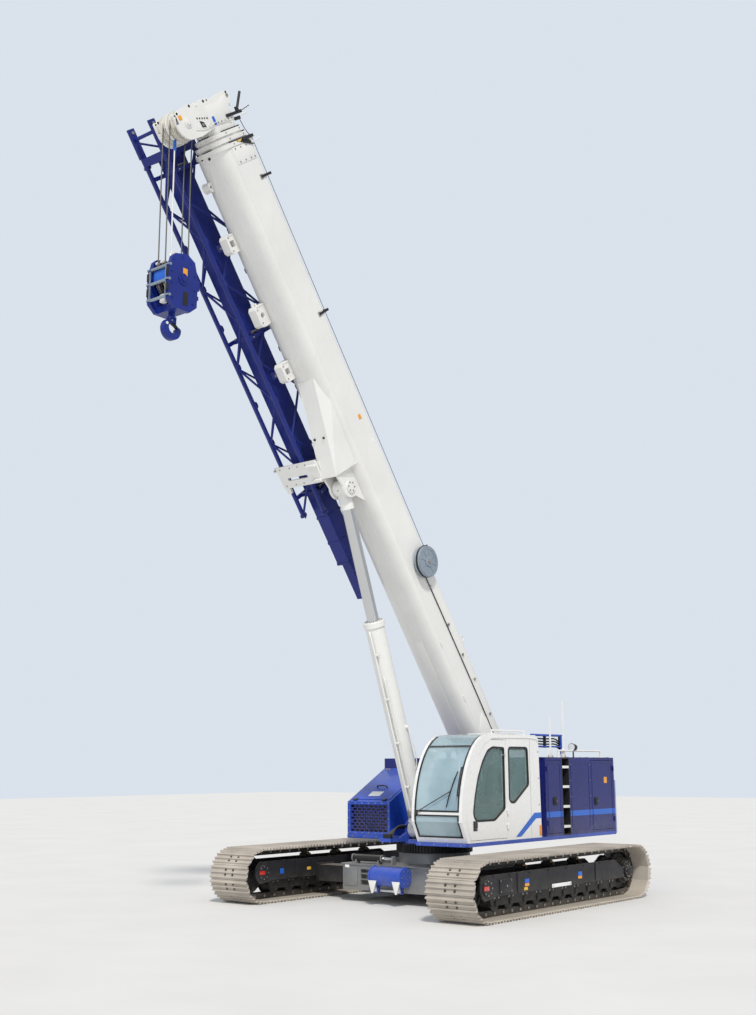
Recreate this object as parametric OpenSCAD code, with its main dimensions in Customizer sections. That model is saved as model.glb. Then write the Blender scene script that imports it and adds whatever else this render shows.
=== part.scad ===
// Telescopic-boom crawler crane with a lattice jib stowed beside the boom.
// Origin on the ground below the swing axis, +Z up. The machine faces -Y and its cab is on +X.

/* [Tracks] */
// Length of a track over its shoes
track_len = 5000; // [4800:10:5200]
// Height of a track over its grousers
track_h = 817; // [800:1:840]
// Distance between the middles of the two tracks
gauge = 4125; // [4050:5:4200]
// Width of a shoe
shoe_w = 800; // [700:10:900]
// Shoes on one track
shoe_count = 50; // [46:1:54]
// Height of a grouser above its shoe plate
grouser_h = 26; // [20:1:32]
// Thickness of a shoe plate
shoe_t = 14; // [10:1:18]
// Height of the link chain inside the shoes
link_h = 90; // [80:1:100]
// Width of the link chain
link_w = 200; // [180:2:220]
// Radius of a bottom roller
roller_r = 85; // [75:1:90]
// Bottom rollers on one side
roller_count = 10; // [8:1:10]
// Radius of a carrier roller
carrier_r = 60; // [50:1:65]

/* [Track frames and carbody] */
// Width of a track frame over its side plates
frame_w = 560; // [530:2:580]
// Distance between the guards of the bottom rollers, over their outer faces
guard_w = 296; // [280:2:310]
// Underside of a track frame's box
frame_z0 = 330; // [325:1:350]
// Top of a track frame's box
frame_z1 = 540; // [500:1:550]
// Top of a track frame's side plates
frame_z2 = 610; // [590:1:630]
// Half width of the carbody
carbody_x = 1040; // [900:10:1150]
// Half length of the carbody
carbody_y = 1000; // [950:10:1100]
// Underside of the carbody
carbody_z0 = 180; // [150:5:230]
// Top of the carbody
carbody_z1 = 550; // [520:5:580]
// Radius of the slew ring over its teeth
ring_r = 600; // [560:5:640]
// Teeth on the slew ring
ring_teeth = 72; // [60:1:90]
// Underside of the slew ring
ring_z0 = 730; // [700:5:750]
// Height of the slew ring
ring_h = 130; // [110:5:140]
// Radius of the tow drum on the carbody's front
drum_r = 140; // [120:2:150]
// Length of the tow drum
drum_len = 600; // [500:10:700]

/* [Upper structure] */
// Underside of the deck plate
deck_z0 = 900; // [890:1:910]
// Thickness of the deck plate
deck_t = 55; // [45:1:58]
// Half width of the upper structure
upper_x = 1509; // [1480:1:1530]
// Inner edge of the cab and of the hoods
side_x = 608; // [590:1:640]
// Rear of the hoods
hood_y1 = 3157; // [3100:1:3200]
// Height of the hoods' top
hood_z1 = 2169; // [2100:1:2200]
// Thickness of a hood's sheet
hood_t = 25; // [15:1:30]
// Front of the left hood
hood_y0 = 922; // [900:1:940]
// Front of the cooler box
cooler_y0 = -330; // [-400:5:-300]
// Rear of the cooler box
cooler_y1 = 640; // [600:5:700]
// Height of the cooler box at its front
cooler_z1 = 1480; // [1440:5:1520]
// Height of the cooler box at its rear
cooler_z2 = 2010; // [1960:5:2050]
// Length of the counterweight
weight_len = 430; // [380:5:450]
// Height of the counterweight above the deck
weight_h = 900; // [800:10:1000]

/* [Cab] */
// Rear of the cab
cab_y1 = 766; // [740:1:790]
// Foot of the cab's front
cab_y0 = -1240; // [-1260:1:-1200]
// Furthest point of the curved front
cab_nose_y = -1385; // [-1400:1:-1350]
// Height of the curved front's furthest point
cab_nose_z = 1250; // [1200:5:1300]
// Top of the cab
cab_z1 = 2507; // [2450:1:2530]
// Thickness of the cab's walls and door
cab_t = 45; // [40:1:60]
// Front edge of the seam at the rear of the door
door_y1 = -205; // [-240:1:-180]
// Thickness of a window pane
pane_t = 6; // [5:1:8]

/* [Boom] */
// Elevation of the boom as it stands
boom_angle = 53.48; // [40:0.5:60]
// Boom pin, distance behind the swing axis
pivot_y = 1476; // [1450:1:1500]
// Boom pin, height
pivot_z = 2120; // [2100:1:2150]
// Radius of the boom pin
boom_pin_r = 60; // [50:1:70]
// Width of the base section
boom_w = 620; // [600:2:630]
// Height of the base section
boom_h = 692; // [670:2:710]
// Middle of the sections below the boom's pin line
boom_drop = 18; // [0:1:30]
// Wall of a boom section
boom_t = 10; // [8:0.5:12]
// Room between one section and the next, on each side
boom_gap = 20; // [16:1:22]
// Boom pin to the mouth of the base section
mouth_t = 10750; // [10600:10:10900]
// Step from one section's mouth to the next
mouth_step = 90; // [80:5:110]
// Length that stays inside when a section is out
overlap = 3500; // [3200:50:3700]

/* [Luffing cylinder] */
// Rod eye, distance along the boom from its pin
eye_t = 5490; // [5450:5:5530]
// Rod eye, distance below the boom's middle line
eye_u = 554; // [540:1:570]
// Barrel foot, distance in front of the swing axis
foot_y = 350; // [340:1:360]
// Barrel foot, height
foot_z = 1082; // [1075:1:1100]
// Radius of the barrel
barrel_r = 150; // [140:1:155]
// Wall of the barrel
barrel_t = 25; // [20:1:30]
// Foot to the barrel's open end
barrel_len = 3350; // [3300:10:3400]
// Radius of the rod
rod_r = 93; // [85:1:98]
// Radius of the pins in the two eyes
eye_pin_r = 50; // [45:1:55]

/* [Head, block and jib] */
// Half width of the boom head over its cheeks
head_x = 205; // [190:1:220]
// Radius of the head and block sheaves
sheave_r = 200; // [180:2:210]
// Distance between the two sheaves
sheave_gap = 140; // [120:2:150]
// Sheave axle, distance along the boom from its pin
nest_t = 11200; // [11150:5:11250]
// Sheave axle, distance below the boom's middle line
nest_u = 720; // [700:5:740]
// Head sheave axle to block sheave axle
fall_len = 2290; // [2100:10:2400]
// Diameter of the hoist rope
rope_d = 18; // [16:1:22]
// Middle of the jib, beside the boom's middle
jib_x = 650; // [640:5:670]
// Width of the jib over its chords' middles
jib_w = 440; // [400:5:450]
// Depth of the jib over its chords' middles
jib_h = 640; // [600:5:680]
// Middle of the jib, below the boom's middle line
jib_u = 370; // [350:5:390]
// Diameter of a jib chord
chord_d = 70; // [60:2:80]
// Foot of the jib's lattice, distance along the boom
jib_t0 = 5200; // [5100:50:5300]
// Head end of the jib's lattice
jib_t1 = 10900; // [10800:50:11000]
// Bays of the lattice
jib_bays = 9; // [7:1:11]

/* [Hidden] */
$fn = 64;

white = [0.93, 0.92, 0.88];
navy = [0.08, 0.11, 0.40];
blue = [0.08, 0.25, 0.70];
steel = [0.62, 0.62, 0.60];
dust = [0.72, 0.66, 0.56];
dark = [0.10, 0.10, 0.11];
glass_tint = [0.45, 0.70, 0.68, 0.5];

seat_gap = 0.3;
run_gap = 6;
deck_z1 = deck_z0 + deck_t;
track_x = gauge / 2;
track_r = track_h / 2 - grouser_h;
chain_r = track_r - shoe_t - link_h;
track_flat = track_len - track_h;
wheel_y = track_flat / 2;
wheel_z = track_h / 2;
roller_z = wheel_z - chain_r + seat_gap + roller_r;
carrier_z = wheel_z + chain_r - seat_gap - carrier_r;

// Shape helpers

// A flat shape drawn with Y across and Z up, made solid from x0 to x1
module across(x0, x1) {
    translate([x0, 0, 0])
        rotate([90, 0, 90])
            linear_extrude(x1 - x0)
                children();
}

// A round bar along X
module bar_x(x0, x1, r) {
    translate([x0, 0, 0])
        rotate([0, 90, 0])
            cylinder(h = x1 - x0, r = r);
}

// A bar with flat sides from p to q
module bar(p, q, r, sides = 12) {
    v = q - p;
    translate(p)
        rotate([0, acos(v.z / norm(v)), atan2(v.y, v.x)])
            cylinder(h = norm(v), r = r, $fn = sides);
}

// A box from its lowest to its highest corner
module box(p, q) {
    translate(p)
        cube(q - p);
}

// Children on both sides of the machine
module both_sides() {
    children();
    mirror([1, 0, 0])
        children();
}

// Points of an arc round c
function arc(c, r, a0, a1, n) = [for (i = [0:n]) c + r * [cos(a0 + (a1 - a0) * i / n), sin(a0 + (a1 - a0) * i / n)]];

// Places the boom, which is drawn level along -Y with its pin at the origin
module on_boom() {
    translate([0, pivot_y, pivot_z])
        rotate([-boom_angle, 0, 0])
            children();
}

// A flat shape drawn with distance along the boom across and height up, made solid from x0 to x1
module boom_plate(x0, x1) {
    translate([x0, 0, 0])
        rotate([90, 0, 90])
            linear_extrude(x1 - x0)
                mirror([1, 0])
                    children();
}

// A profile drawn across the boom, made solid from t0 to t1 along it
module boom_run(t0, t1) {
    translate([0, -t0, 0])
        rotate([90, 0, 0])
            linear_extrude(t1 - t0)
                children();
}

// A point of the boom in the machine's frame
function boom_point(t, u) = [0,
    pivot_y - t * cos(boom_angle) + u * sin(boom_angle),
    pivot_z + t * sin(boom_angle) + u * cos(boom_angle)];

// Tracks

// Columns: share of a shoe's pitch, height above the shoe plate
// with three grousers a shoe, a third of the pitch apart
SHOE_PROFILE = concat([[0, -shoe_t / 2]],
    [for (g = [1/6, 1/2, 5/6], p = [[-0.065, 0], [-0.03, grouser_h], [0.03, grouser_h], [0.065, 0]]) [g + p[0], p[1]]]);
loop_len = 2 * track_flat + 2 * PI * track_r;
shoe_pitch = loop_len / shoe_count;

// A point at distance s round the loop of shoe plates, raised by h
function loop_point(s, h) =
    let (half_turn = PI * track_r, turn = 180 / PI / track_r)
    s < track_flat ? [-wheel_y + s, track_r + h]
    : s < track_flat + half_turn ?
        let (a = 90 - (s - track_flat) * turn)
        [wheel_y, 0] + (track_r + h) * [cos(a), sin(a)]
    : s < 2 * track_flat + half_turn ? [wheel_y - (s - track_flat - half_turn), -track_r - h]
    : let (a = -90 - (s - 2 * track_flat - half_turn) * turn)
        [-wheel_y, 0] + (track_r + h) * [cos(a), sin(a)];

function shoe_loop() = [for (i = [0:shoe_count - 1], p = SHOE_PROFILE) loop_point((i + p[0]) * shoe_pitch, p[1])];

// Inner outline of the loop, with n chords round each end
function stadium(r, n) = concat(arc([wheel_y, 0], r, 90, -90, n), arc([-wheel_y, 0], r, -90, -270, n));

plate_n = 12;
chain_n = 16;
// Largest wheel that turns inside the chain's chords
wheel_r = chain_r * cos(90 / chain_n) - seat_gap;

module track() {
    translate([0, 0, wheel_z]) {
        across(-shoe_w / 2, shoe_w / 2)
            difference() {
                polygon(shoe_loop());
                polygon(stadium(track_r - shoe_t, plate_n));
            }
        across(-link_w / 2, link_w / 2)
            difference() {
                polygon(stadium(track_r - shoe_t + 1, plate_n));
                polygon(stadium(chain_r, chain_n));
            }
    }
}

module track_left() {
    color(dust)
        translate([track_x, 0, 0])
            track();
}

module track_right() {
    color(dust)
        translate([-track_x, 0, 0])
            track();
}

// Track frames, which carry the rollers, the idlers and the drives

guard_t = 30;
side_t = 30;
frame_y = wheel_y - chain_r - 30;
roller_pitch = 2 * (frame_y - 180) / (roller_count - 1);
CARRIER_Y = [-750, 0, 750];
yoke_x = 62;
nose_plate_r = 175;
motor_r = 150;
drive_r = 190;

// Outline of a side plate: round in front, where it covers the idler, and sloped down to the drive
module side_plate() {
    polygon(concat(arc([-wheel_y + 90, (frame_z0 + frame_z2) / 2 - 25], nose_plate_r, 250, 110, 10),
        [[-wheel_y + 330, frame_z2], [frame_y - 260, frame_z2], [frame_y - 60, frame_z1 - 40], [frame_y, frame_z1 - 60],
        [frame_y, frame_z0], [-frame_y, frame_z0]]));
}

module track_frame() {
    across(-frame_w / 2, frame_w / 2)
        polygon([[-frame_y, frame_z0], [-frame_y, frame_z1 - 60], [-frame_y + 200, frame_z1],
            [frame_y - 200, frame_z1], [frame_y, frame_z1 - 60], [frame_y, frame_z0]]);
    for (x = [-frame_w / 2, frame_w / 2 - side_t])
        across(x, x + side_t)
            side_plate();
    // Guards of the bottom rollers
    for (x = [-guard_w / 2, guard_w / 2 - guard_t])
        across(x, x + guard_t)
            polygon([[-frame_y, frame_z0 + 1], [frame_y, frame_z0 + 1], [frame_y - 60, roller_z - 30],
                [-frame_y + 60, roller_z - 30]]);
    // Yoke arms to the idler and the ring that carries the drive
    for (x = [-yoke_x - 30, yoke_x])
        box([x, -wheel_y - 70, wheel_z - 55], [x + 30, -frame_y + 1, wheel_z + 55]);
    across(-frame_w / 2, -frame_w / 2 + side_t)
        difference() {
            union() {
                translate([wheel_y, wheel_z])
                    circle(drive_r + 30);
                polygon([[frame_y - 1, frame_z0], [frame_y - 1, frame_z1 - 60], [wheel_y, frame_z2 - 20], [wheel_y, frame_z0 - 110]]);
            }
            translate([wheel_y, wheel_z])
                circle(motor_r + seat_gap);
        }
    // Ears of the carrier rollers
    for (y = CARRIER_Y, x = [-82, 62])
        box([x, y - 45, frame_z1 - 1], [x + 20, y + 45, carrier_z + 30]);
}

module track_frames() {
    color(dark)
        both_sides()
            translate([track_x, 0, 0])
                difference() {
                    track_frame();
                    translate([0, -wheel_y, wheel_z])
                        bar_x(-200, 200, 30);
                }
}

module rollers() {
    color(dark)
        both_sides()
            translate([track_x, 0, 0]) {
                for (i = [0:roller_count - 1])
                    translate([0, -frame_y + 180 + i * roller_pitch, roller_z]) {
                        bar_x(-guard_w / 2 + guard_t + seat_gap, guard_w / 2 - guard_t - seat_gap, roller_r);
                        for (x = [-link_w / 2 - 16, link_w / 2 + 2])
                            bar_x(x, x + 14, roller_r + 20);
                    }
                for (y = CARRIER_Y)
                    translate([0, y, carrier_z])
                        bar_x(-62 + seat_gap, 62 - seat_gap, carrier_r);
            }
}

module idlers() {
    color(dark)
        both_sides()
            translate([track_x, -wheel_y, wheel_z]) {
                difference() {
                    bar_x(-55, 55, wheel_r);
                    for (x = [-56, 36])
                        difference() {
                            bar_x(x, x + 20, wheel_r - 40);
                            bar_x(x - 1, x + 21, 110);
                        }
                }
                bar_x(-95, 95, 30 - seat_gap);
            }
}

sprocket_teeth = 23;
// Columns: share of a tooth's pitch, height above the toothed rim
TOOTH_PROFILE = [[0, -28], [0.3, 0], [0.6, 0], [0.9, -28]];

module sprockets() {
    color(dark)
        both_sides()
            translate([track_x, wheel_y, wheel_z]) {
                across(-30, 30)
                    polygon([for (i = [0:sprocket_teeth - 1], p = TOOTH_PROFILE)
                        let (a = (i + p[0]) * 360 / sprocket_teeth) (wheel_r + p[1]) * [cos(a), sin(a)]]);
                bar_x(-frame_w / 2 + side_t + seat_gap, 120, drive_r);
                bar_x(-frame_w / 2 - 70, -frame_w / 2 + side_t + 1, motor_r);
                // Hub, its cover and the guard over it
                bar_x(119, 180, drive_r - 30);
                bar_x(179, 215, 110);
            }
}

// Carbody

beam_y = 600;
beam_w = 340;
beam_z0 = 250;
beam_z1 = 500;
pedestal_r = 560;

module carbody() {
    color(steel) {
        difference() {
            translate([0, 0, carbody_z0])
                linear_extrude(carbody_z1 - carbody_z0)
                    polygon([[-carbody_x, -carbody_y], [carbody_x, -carbody_y], [carbody_x, carbody_y],
                        [-carbody_x, carbody_y]]);
            // Step recess in the front
            box([-680, -carbody_y - 1, carbody_z0 + 80], [-400, -carbody_y + 120, carbody_z1 - 60]);
        }
        for (z = [carbody_z0 + 150, carbody_z0 + 235])
            box([-680, -carbody_y, z], [-400, -carbody_y + 40, z + 20]);
        box([-carbody_x - 30, -carbody_y - 15, carbody_z1], [carbody_x + 30, carbody_y + 15, carbody_z1 + 20]);
        translate([0, 0, carbody_z1 + 20])
            cylinder(h = ring_z0 - carbody_z1 - 20, r = pedestal_r);
    }
}

module track_beams() {
    color(dark)
        both_sides()
            for (y = [-beam_y, beam_y])
                box([carbody_x, y - beam_w / 2, beam_z0], [track_x - frame_w / 2, y + beam_w / 2, beam_z1]);
}

module slew_ring() {
    color(dark)
        translate([0, 0, ring_z0])
            linear_extrude(ring_h)
                polygon([for (i = [0:ring_teeth - 1], p = [[0, 0], [0.35, 0], [0.5, -22], [0.85, -22]])
                    (ring_r + p[1]) * [cos((i + p[0]) * 360 / ring_teeth), sin((i + p[0]) * 360 / ring_teeth)]]);
}

module tow_drum() {
    color(blue) {
        translate([0, -carbody_y - drum_r, 420])
            bar_x(-drum_len / 2, drum_len / 2, drum_r);
    }
    color(white)
        for (x = [-240, 210])
            difference() {
                across(x, x + 30)
                    polygon([[-carbody_y - 190, 320], [-carbody_y - 90, 320], [-carbody_y - 110, 180],
                        [-carbody_y - 170, 180]]);
                translate([0, -carbody_y - drum_r, 225])
                    bar_x(x - 1, x + 31, 22);
            }
}

// Deck and what stands on it

support_x = 330;
support_t = 35;
WINCH_Y = [2090, 2740];
winch_z = 1400;
shaft_r = 50;
notch_x = 172;
foot_r = 140;

module deck() {
    color(blue) {
        difference() {
            translate([0, 0, deck_z0])
                linear_extrude(deck_t)
                    polygon([[-upper_x, cooler_y0], [-side_x, cooler_y0], [-support_x - 60, -900], [support_x + 60, -900],
                        [side_x, cab_y0 + 15], [upper_x, cab_y0 + 15], [upper_x, hood_y1], [-upper_x, hood_y1]]);
            box([-notch_x, -901, deck_z0 - 1], [notch_x, -foot_y + 160, deck_z1 + 1]);
        }
        // Cheeks of the cylinder's foot
        for (x = [-notch_x - 40, notch_x])
            difference() {
                across(x, x + 40)
                    polygon(concat([[-foot_y + 300, deck_z0], [-foot_y - 300, deck_z0], [-foot_y - 300, deck_z1]],
                        arc([-foot_y, foot_z], foot_r, 200, 20, 12), [[-foot_y + 300, deck_z1]]));
                translate([0, -foot_y, foot_z])
                    bar_x(x - 1, x + 41, eye_pin_r);
            }
    }
    color(dark)
        translate([0, 0, ring_z0 + ring_h + seat_gap])
            cylinder(h = deck_z0 - ring_z0 - ring_h - seat_gap, r = ring_r - 60);
}

module boom_supports() {
    color(blue)
        both_sides()
            difference() {
                across(support_x, support_x + support_t)
                    polygon(concat([[3100, deck_z1], [-300, deck_z1], [-150, 1250], [900, 1560]],
                        arc([pivot_y, pivot_z], 190, 150, 10, 12), [[2100, 1800], [3100, 1620]]));
                translate([0, pivot_y, pivot_z])
                    bar_x(0, 400, boom_pin_r + 0.05);
                for (y = WINCH_Y)
                    translate([0, y, winch_z])
                        bar_x(0, 400, shaft_r + 0.05);
            }
    color(blue) {
        box([-support_x, 1700, deck_z1], [support_x, 1735, 1500]);
        box([-support_x, 200, deck_z1], [support_x, 235, 1250]);
    }
}

module boom_pin() {
    color(steel)
        translate([0, pivot_y, pivot_z]) {
            bar_x(-support_x - support_t - 10, support_x + support_t + 10, boom_pin_r);
            for (x = [-support_x - support_t - 22, support_x + support_t + 1])
                bar_x(x, x + 21, boom_pin_r + 30);
        }
}

module counterweight() {
    color(blue)
        translate([0, 0, deck_z0])
            linear_extrude(weight_h)
                polygon([[-upper_x, hood_y1 + seat_gap], [upper_x, hood_y1 + seat_gap], [upper_x - 60, hood_y1 + 150],
                    [upper_x - 330, hood_y1 + weight_len], [-upper_x + 330, hood_y1 + weight_len],
                    [-upper_x + 60, hood_y1 + 150]]);
}

// Hoods: hollow sheet boxes with doors in their outer sides

module hood_box(y0, y1, z1) {
    difference() {
        box([side_x, y0, deck_z1], [upper_x, y1, z1]);
        box([side_x + hood_t, y0 + hood_t, deck_z1 - 1], [upper_x - hood_t, y1 - hood_t, z1 - hood_t]);
    }
}

// Columns: front edge, rear edge
FRONT_DOOR = [960, 1400];
REAR_DOOR = [2360, 3110];
ENGINE_DOOR = [1500, 2900];
LADDER = [1430, 1660];
ladder_t = 130;
door_z0 = 1000;
door_z1 = 2120;
HINGE_Z = [1120, 1950];
hinge_x = upper_x + 14;
knuckle_r = 12;
knuckle_h = 38;
hinge_pin_r = 6;

// Fixed half of the hinges at y, for a door that lies towards side of it
module hinge_pins(y, side, heights) {
    for (z = heights) {
        translate([hinge_x, y, z])
            cylinder(h = 2 * knuckle_h + 4, r = hinge_pin_r);
        translate([hinge_x, y, z])
            cylinder(h = knuckle_h, r = knuckle_r);
        box([upper_x, min(y, y - side * 40), z], [upper_x + 6, max(y, y - side * 40), z + knuckle_h]);
    }
}

// Moving half of the hinges
module hinge_knuckles(y, side, heights) {
    for (z = heights)
        difference() {
            union() {
                translate([hinge_x, y, z + knuckle_h + 2])
                    cylinder(h = knuckle_h, r = knuckle_r);
                box([upper_x, min(y, y + side * 40), z + knuckle_h + 2],
                    [upper_x + 6, max(y, y + side * 40), z + 2 * knuckle_h + 2]);
            }
            translate([hinge_x, y, z])
                cylinder(h = 3 * knuckle_h, r = hinge_pin_r + 0.05);
        }
}

module door_hole(range) {
    box([upper_x - hood_t - 1, range[0] - run_gap, door_z0 - run_gap],
        [upper_x + 1, range[1] + run_gap, door_z1 + run_gap]);
}

module left_hood() {
    color(navy) {
        difference() {
            hood_box(hood_y0, hood_y1, hood_z1);
            door_hole(FRONT_DOOR);
            door_hole(REAR_DOOR);
            box([upper_x - ladder_t - seat_gap, LADDER[0], deck_z1 - 1], [upper_x + 1, LADDER[1], hood_z1 + 1]);
        }
        hinge_pins(FRONT_DOOR[0] - run_gap / 2, 1, HINGE_Z);
        hinge_pins(REAR_DOOR[1] + run_gap / 2, -1, HINGE_Z);
    }
}

module hood_door(range) {
    box([upper_x - hood_t, range[0], door_z0], [upper_x, range[1], door_z1]);
}

module hood_door_front() {
    color(navy) {
        hood_door(FRONT_DOOR);
        hinge_knuckles(FRONT_DOOR[0] - run_gap / 2, 1, HINGE_Z);
    }
}

module hood_door_rear() {
    color(navy) {
        hood_door(REAR_DOOR);
        hinge_knuckles(REAR_DOOR[1] + run_gap / 2, -1, HINGE_Z);
    }
}

module ladder() {
    color(dark)
        difference() {
            box([upper_x - ladder_t, LADDER[0] + seat_gap, deck_z1], [upper_x, LADDER[1] - seat_gap, hood_z1]);
            box([upper_x - ladder_t + 10, LADDER[0] + 15, deck_z1 + 15], [upper_x + 1, LADDER[1] - 15, hood_z1 - 20]);
        }
    color(white)
        for (z = [1070:310:2070])
            box([upper_x - 60, LADDER[0] + 15, z], [upper_x, LADDER[1] - 15, z + 35]);
}

module right_hood() {
    color(navy)
        mirror([1, 0, 0]) {
            difference() {
                hood_box(cooler_y1 + seat_gap, hood_y1, hood_z1);
                door_hole(ENGINE_DOOR);
            }
            hinge_pins(ENGINE_DOOR[0] - run_gap / 2, 1, HINGE_Z);
        }
}

module engine() {
    color(dark)
        box([-upper_x + 160, ENGINE_DOOR[0] - 50, deck_z1], [-side_x - 170, ENGINE_DOOR[1] - 250, hood_z1 - 320]);
}

module engine_door() {
    color(navy)
        mirror([1, 0, 0]) {
            hood_door(ENGINE_DOOR);
            hinge_knuckles(ENGINE_DOOR[0] - run_gap / 2, 1, HINGE_Z);
        }
}

// Cooler box with a sloped cover and an open front behind its grille

grille_edge = 50;

module cooler_box() {
    color(blue)
        mirror([1, 0, 0])
            difference() {
                across(side_x + 25, upper_x)
                    polygon([[cooler_y0, deck_z1], [cooler_y0, cooler_z1], [cooler_y1, cooler_z2], [cooler_y1, deck_z1]]);
                across(side_x + 50, upper_x - 25)
                    polygon([[cooler_y0 + 40, deck_z1 + 30], [cooler_y0 + 40, cooler_z1 - 10], [cooler_y1 - 25, cooler_z2 - 45],
                        [cooler_y1 - 25, deck_z1 + 30]]);
                box([side_x + 25 + grille_edge, cooler_y0 - 1, deck_z1 + grille_edge],
                    [upper_x - grille_edge, cooler_y0 + 41, cooler_z1 - grille_edge]);
            }
}

grille_rows = 9;
grille_cols = 8;

module grille() {
    gx0 = side_x + 25 + grille_edge + seat_gap;
    gx1 = upper_x - grille_edge - seat_gap;
    gz0 = deck_z1 + grille_edge + seat_gap;
    gz1 = cooler_z1 - grille_edge - seat_gap;
    dx = (gx1 - gx0) / grille_cols;
    dz = (gz1 - gz0) / grille_rows;
    color(navy)
        mirror([1, 0, 0])
            difference() {
                box([gx0, cooler_y0 + 8, gz0], [gx1, cooler_y0 + 14, gz1]);
                for (r = [0:grille_rows - 1], c = [0:grille_cols - 1 - r % 2])
                    translate([gx0 + (c + (r % 2 == 0 ? 0.5 : 1)) * dx, cooler_y0, gz0 + (r + 0.5) * dz])
                        rotate([-90, 0, 0])
                            linear_extrude(20)
                                polygon([[-0.42 * dx, 0], [-0.25 * dx, 0.36 * dz], [0.25 * dx, 0.36 * dz], [0.42 * dx, 0],
                                    [0.25 * dx, -0.36 * dz], [-0.25 * dx, -0.36 * dz]]);
            }
}

module radiator() {
    color(dark)
        box([-upper_x + 80, cooler_y0 + 90, deck_z1 + 30], [-side_x - 80, cooler_y0 + 190, cooler_z1 - 40]);
}

// Winches between the boom supports

module winch(y) {
    color(dark)
        translate([0, y, winch_z]) {
            bar_x(-support_x + 40, support_x - 40, 190);
            for (x = [-support_x + run_gap, support_x - 46])
                bar_x(x, x + 40, 280);
            bar_x(-support_x - support_t, support_x + support_t, shaft_r);
        }
}

module winch_main() {
    winch(WINCH_Y[0]);
}

module winch_second() {
    winch(WINCH_Y[1]);
}

// Cab: a curved front, walls with windows, one hinged door

nose_r = [cab_nose_y + 640, cab_z1 - cab_nose_z];

// Side outline of the cab, drawn in by d
function cab_outline(d) = concat(
    [[cab_y1 - d, deck_z1 + d], [cab_y0 + d, deck_z1 + d], [cab_nose_y + d, cab_nose_z]],
    [for (i = [1:12]) let (a = i * 90 / 12) [-640 + (nose_r[0] + d) * cos(a), cab_nose_z + (nose_r[1] - d) * sin(a)]],
    [[cab_y1 - 120, cab_z1 - d], [cab_y1 - 35 - d, cab_z1 - 60 - d]]);

CAB_HINGE_Z = [1120, 1330];
DOOR_OUTLINE = [[door_y1, 990], [-1165, 990], [-1270, 1290], [-1225, 1560], [-1130, 1860], [-960, 2150], [-760, 2350],
    [-600, 2420], [door_y1, 2420]];
DOOR_WINDOW = [[-262, 1420], [-262, 2300], [-560, 2310], [-690, 2260], [-830, 2100], [-950, 1880], [-1040, 1600],
    [-1085, 1380], [-1060, 1300], [-1000, 1260], [-540, 1260]];
REAR_WINDOW = [[-130, 1540], [-130, 2280], [-100, 2310], [370, 2310], [400, 2280], [415, 1760], [10, 1500], [-80, 1500]];

module cab_shell() {
    color(white)
        difference() {
            across(side_x, upper_x)
                polygon(cab_outline(0));
            across(side_x + cab_t, upper_x - cab_t)
                polygon(cab_outline(cab_t));
            // Windscreen with its roof pane, lower screen, door and side windows
            across(side_x + 60, upper_x - 60)
                polygon([[-1500, 1400], [-1500, 2600], [-450, 2600], [-450, 2300], [-1000, 1400]]);
            box([side_x + 60, -1500, deck_z1 + 80], [upper_x - 60, -1000, 1340]);
            across(upper_x - cab_t - 1, upper_x + 1)
                offset(delta = run_gap)
                    polygon(DOOR_OUTLINE);
            across(upper_x - cab_t - 1, upper_x + 1)
                polygon(REAR_WINDOW);
            across(side_x - 1, side_x + cab_t + 1)
                polygon([[-1080, 1300], [-950, 1880], [-690, 2260], [-200, 2300], [-200, 1300]]);
            across(side_x - 1, side_x + cab_t + 1)
                polygon(REAR_WINDOW);
            box([side_x + 150, cab_y1 - 100, 1500], [upper_x - 150, cab_y1 + 1, 2300]);
        }
    color(white)
        hinge_pins(door_y1 + run_gap / 2, -1, CAB_HINGE_Z);
}

module cab_glass() {
    color(glass_tint) {
        // Curved panes follow the outline, a little below its surface
        across(side_x + 60 + seat_gap, upper_x - 60 - seat_gap)
            intersection() {
                difference() {
                    polygon(cab_outline(8));
                    polygon(cab_outline(8 + pane_t));
                }
                union() {
                    polygon([[-1500, 1400 + seat_gap], [-1500, 2600], [-450 - seat_gap, 2600], [-450 - seat_gap, 2300], [-1000, 1400 + seat_gap]]);
                    polygon([[-1500, deck_z1 + 80 + seat_gap], [-1500, 1340 - seat_gap], [-1000, 1340 - seat_gap], [-1000, deck_z1 + 80 + seat_gap]]);
                }
            }
        across(upper_x - 20, upper_x - 20 + pane_t)
            offset(delta = -seat_gap)
                polygon(REAR_WINDOW);
        across(side_x + 20, side_x + 20 + pane_t)
            offset(delta = -seat_gap)
                polygon(REAR_WINDOW);
        across(side_x + 20, side_x + 20 + pane_t)
            offset(delta = -seat_gap)
                polygon([[-1080, 1300], [-950, 1880], [-690, 2260], [-200, 2300], [-200, 1300]]);
        box([side_x + 150 + seat_gap, cab_y1 - 30, 1500 + seat_gap], [upper_x - 150 - seat_gap, cab_y1 - 24, 2300 - seat_gap]);
    }
}

module cab_door() {
    color(white)
        difference() {
            across(upper_x - cab_t, upper_x)
                polygon(DOOR_OUTLINE);
            across(upper_x - cab_t - 1, upper_x + 1)
                polygon(DOOR_WINDOW);
        }
    color(white)
        hinge_knuckles(door_y1 + run_gap / 2, -1, CAB_HINGE_Z);
}

module door_glass() {
    color(glass_tint)
        across(upper_x - 20, upper_x - 20 + pane_t)
            offset(delta = -seat_gap)
                polygon(DOOR_WINDOW);
}

cab_mid = (side_x + upper_x) / 2;
cab_floor = deck_z1 + cab_t;

module seat() {
    color(dark) {
        box([cab_mid - 200, -150, cab_floor], [cab_mid + 200, 250, cab_floor + 330]);
        box([cab_mid - 250, -230, cab_floor + 330], [cab_mid + 250, 290, cab_floor + 460]);
        across(cab_mid - 240, cab_mid + 240)
            polygon([[200, cab_floor + 460], [290, cab_floor + 460], [430, cab_floor + 1080], [340, cab_floor + 1100]]);
    }
}

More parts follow.
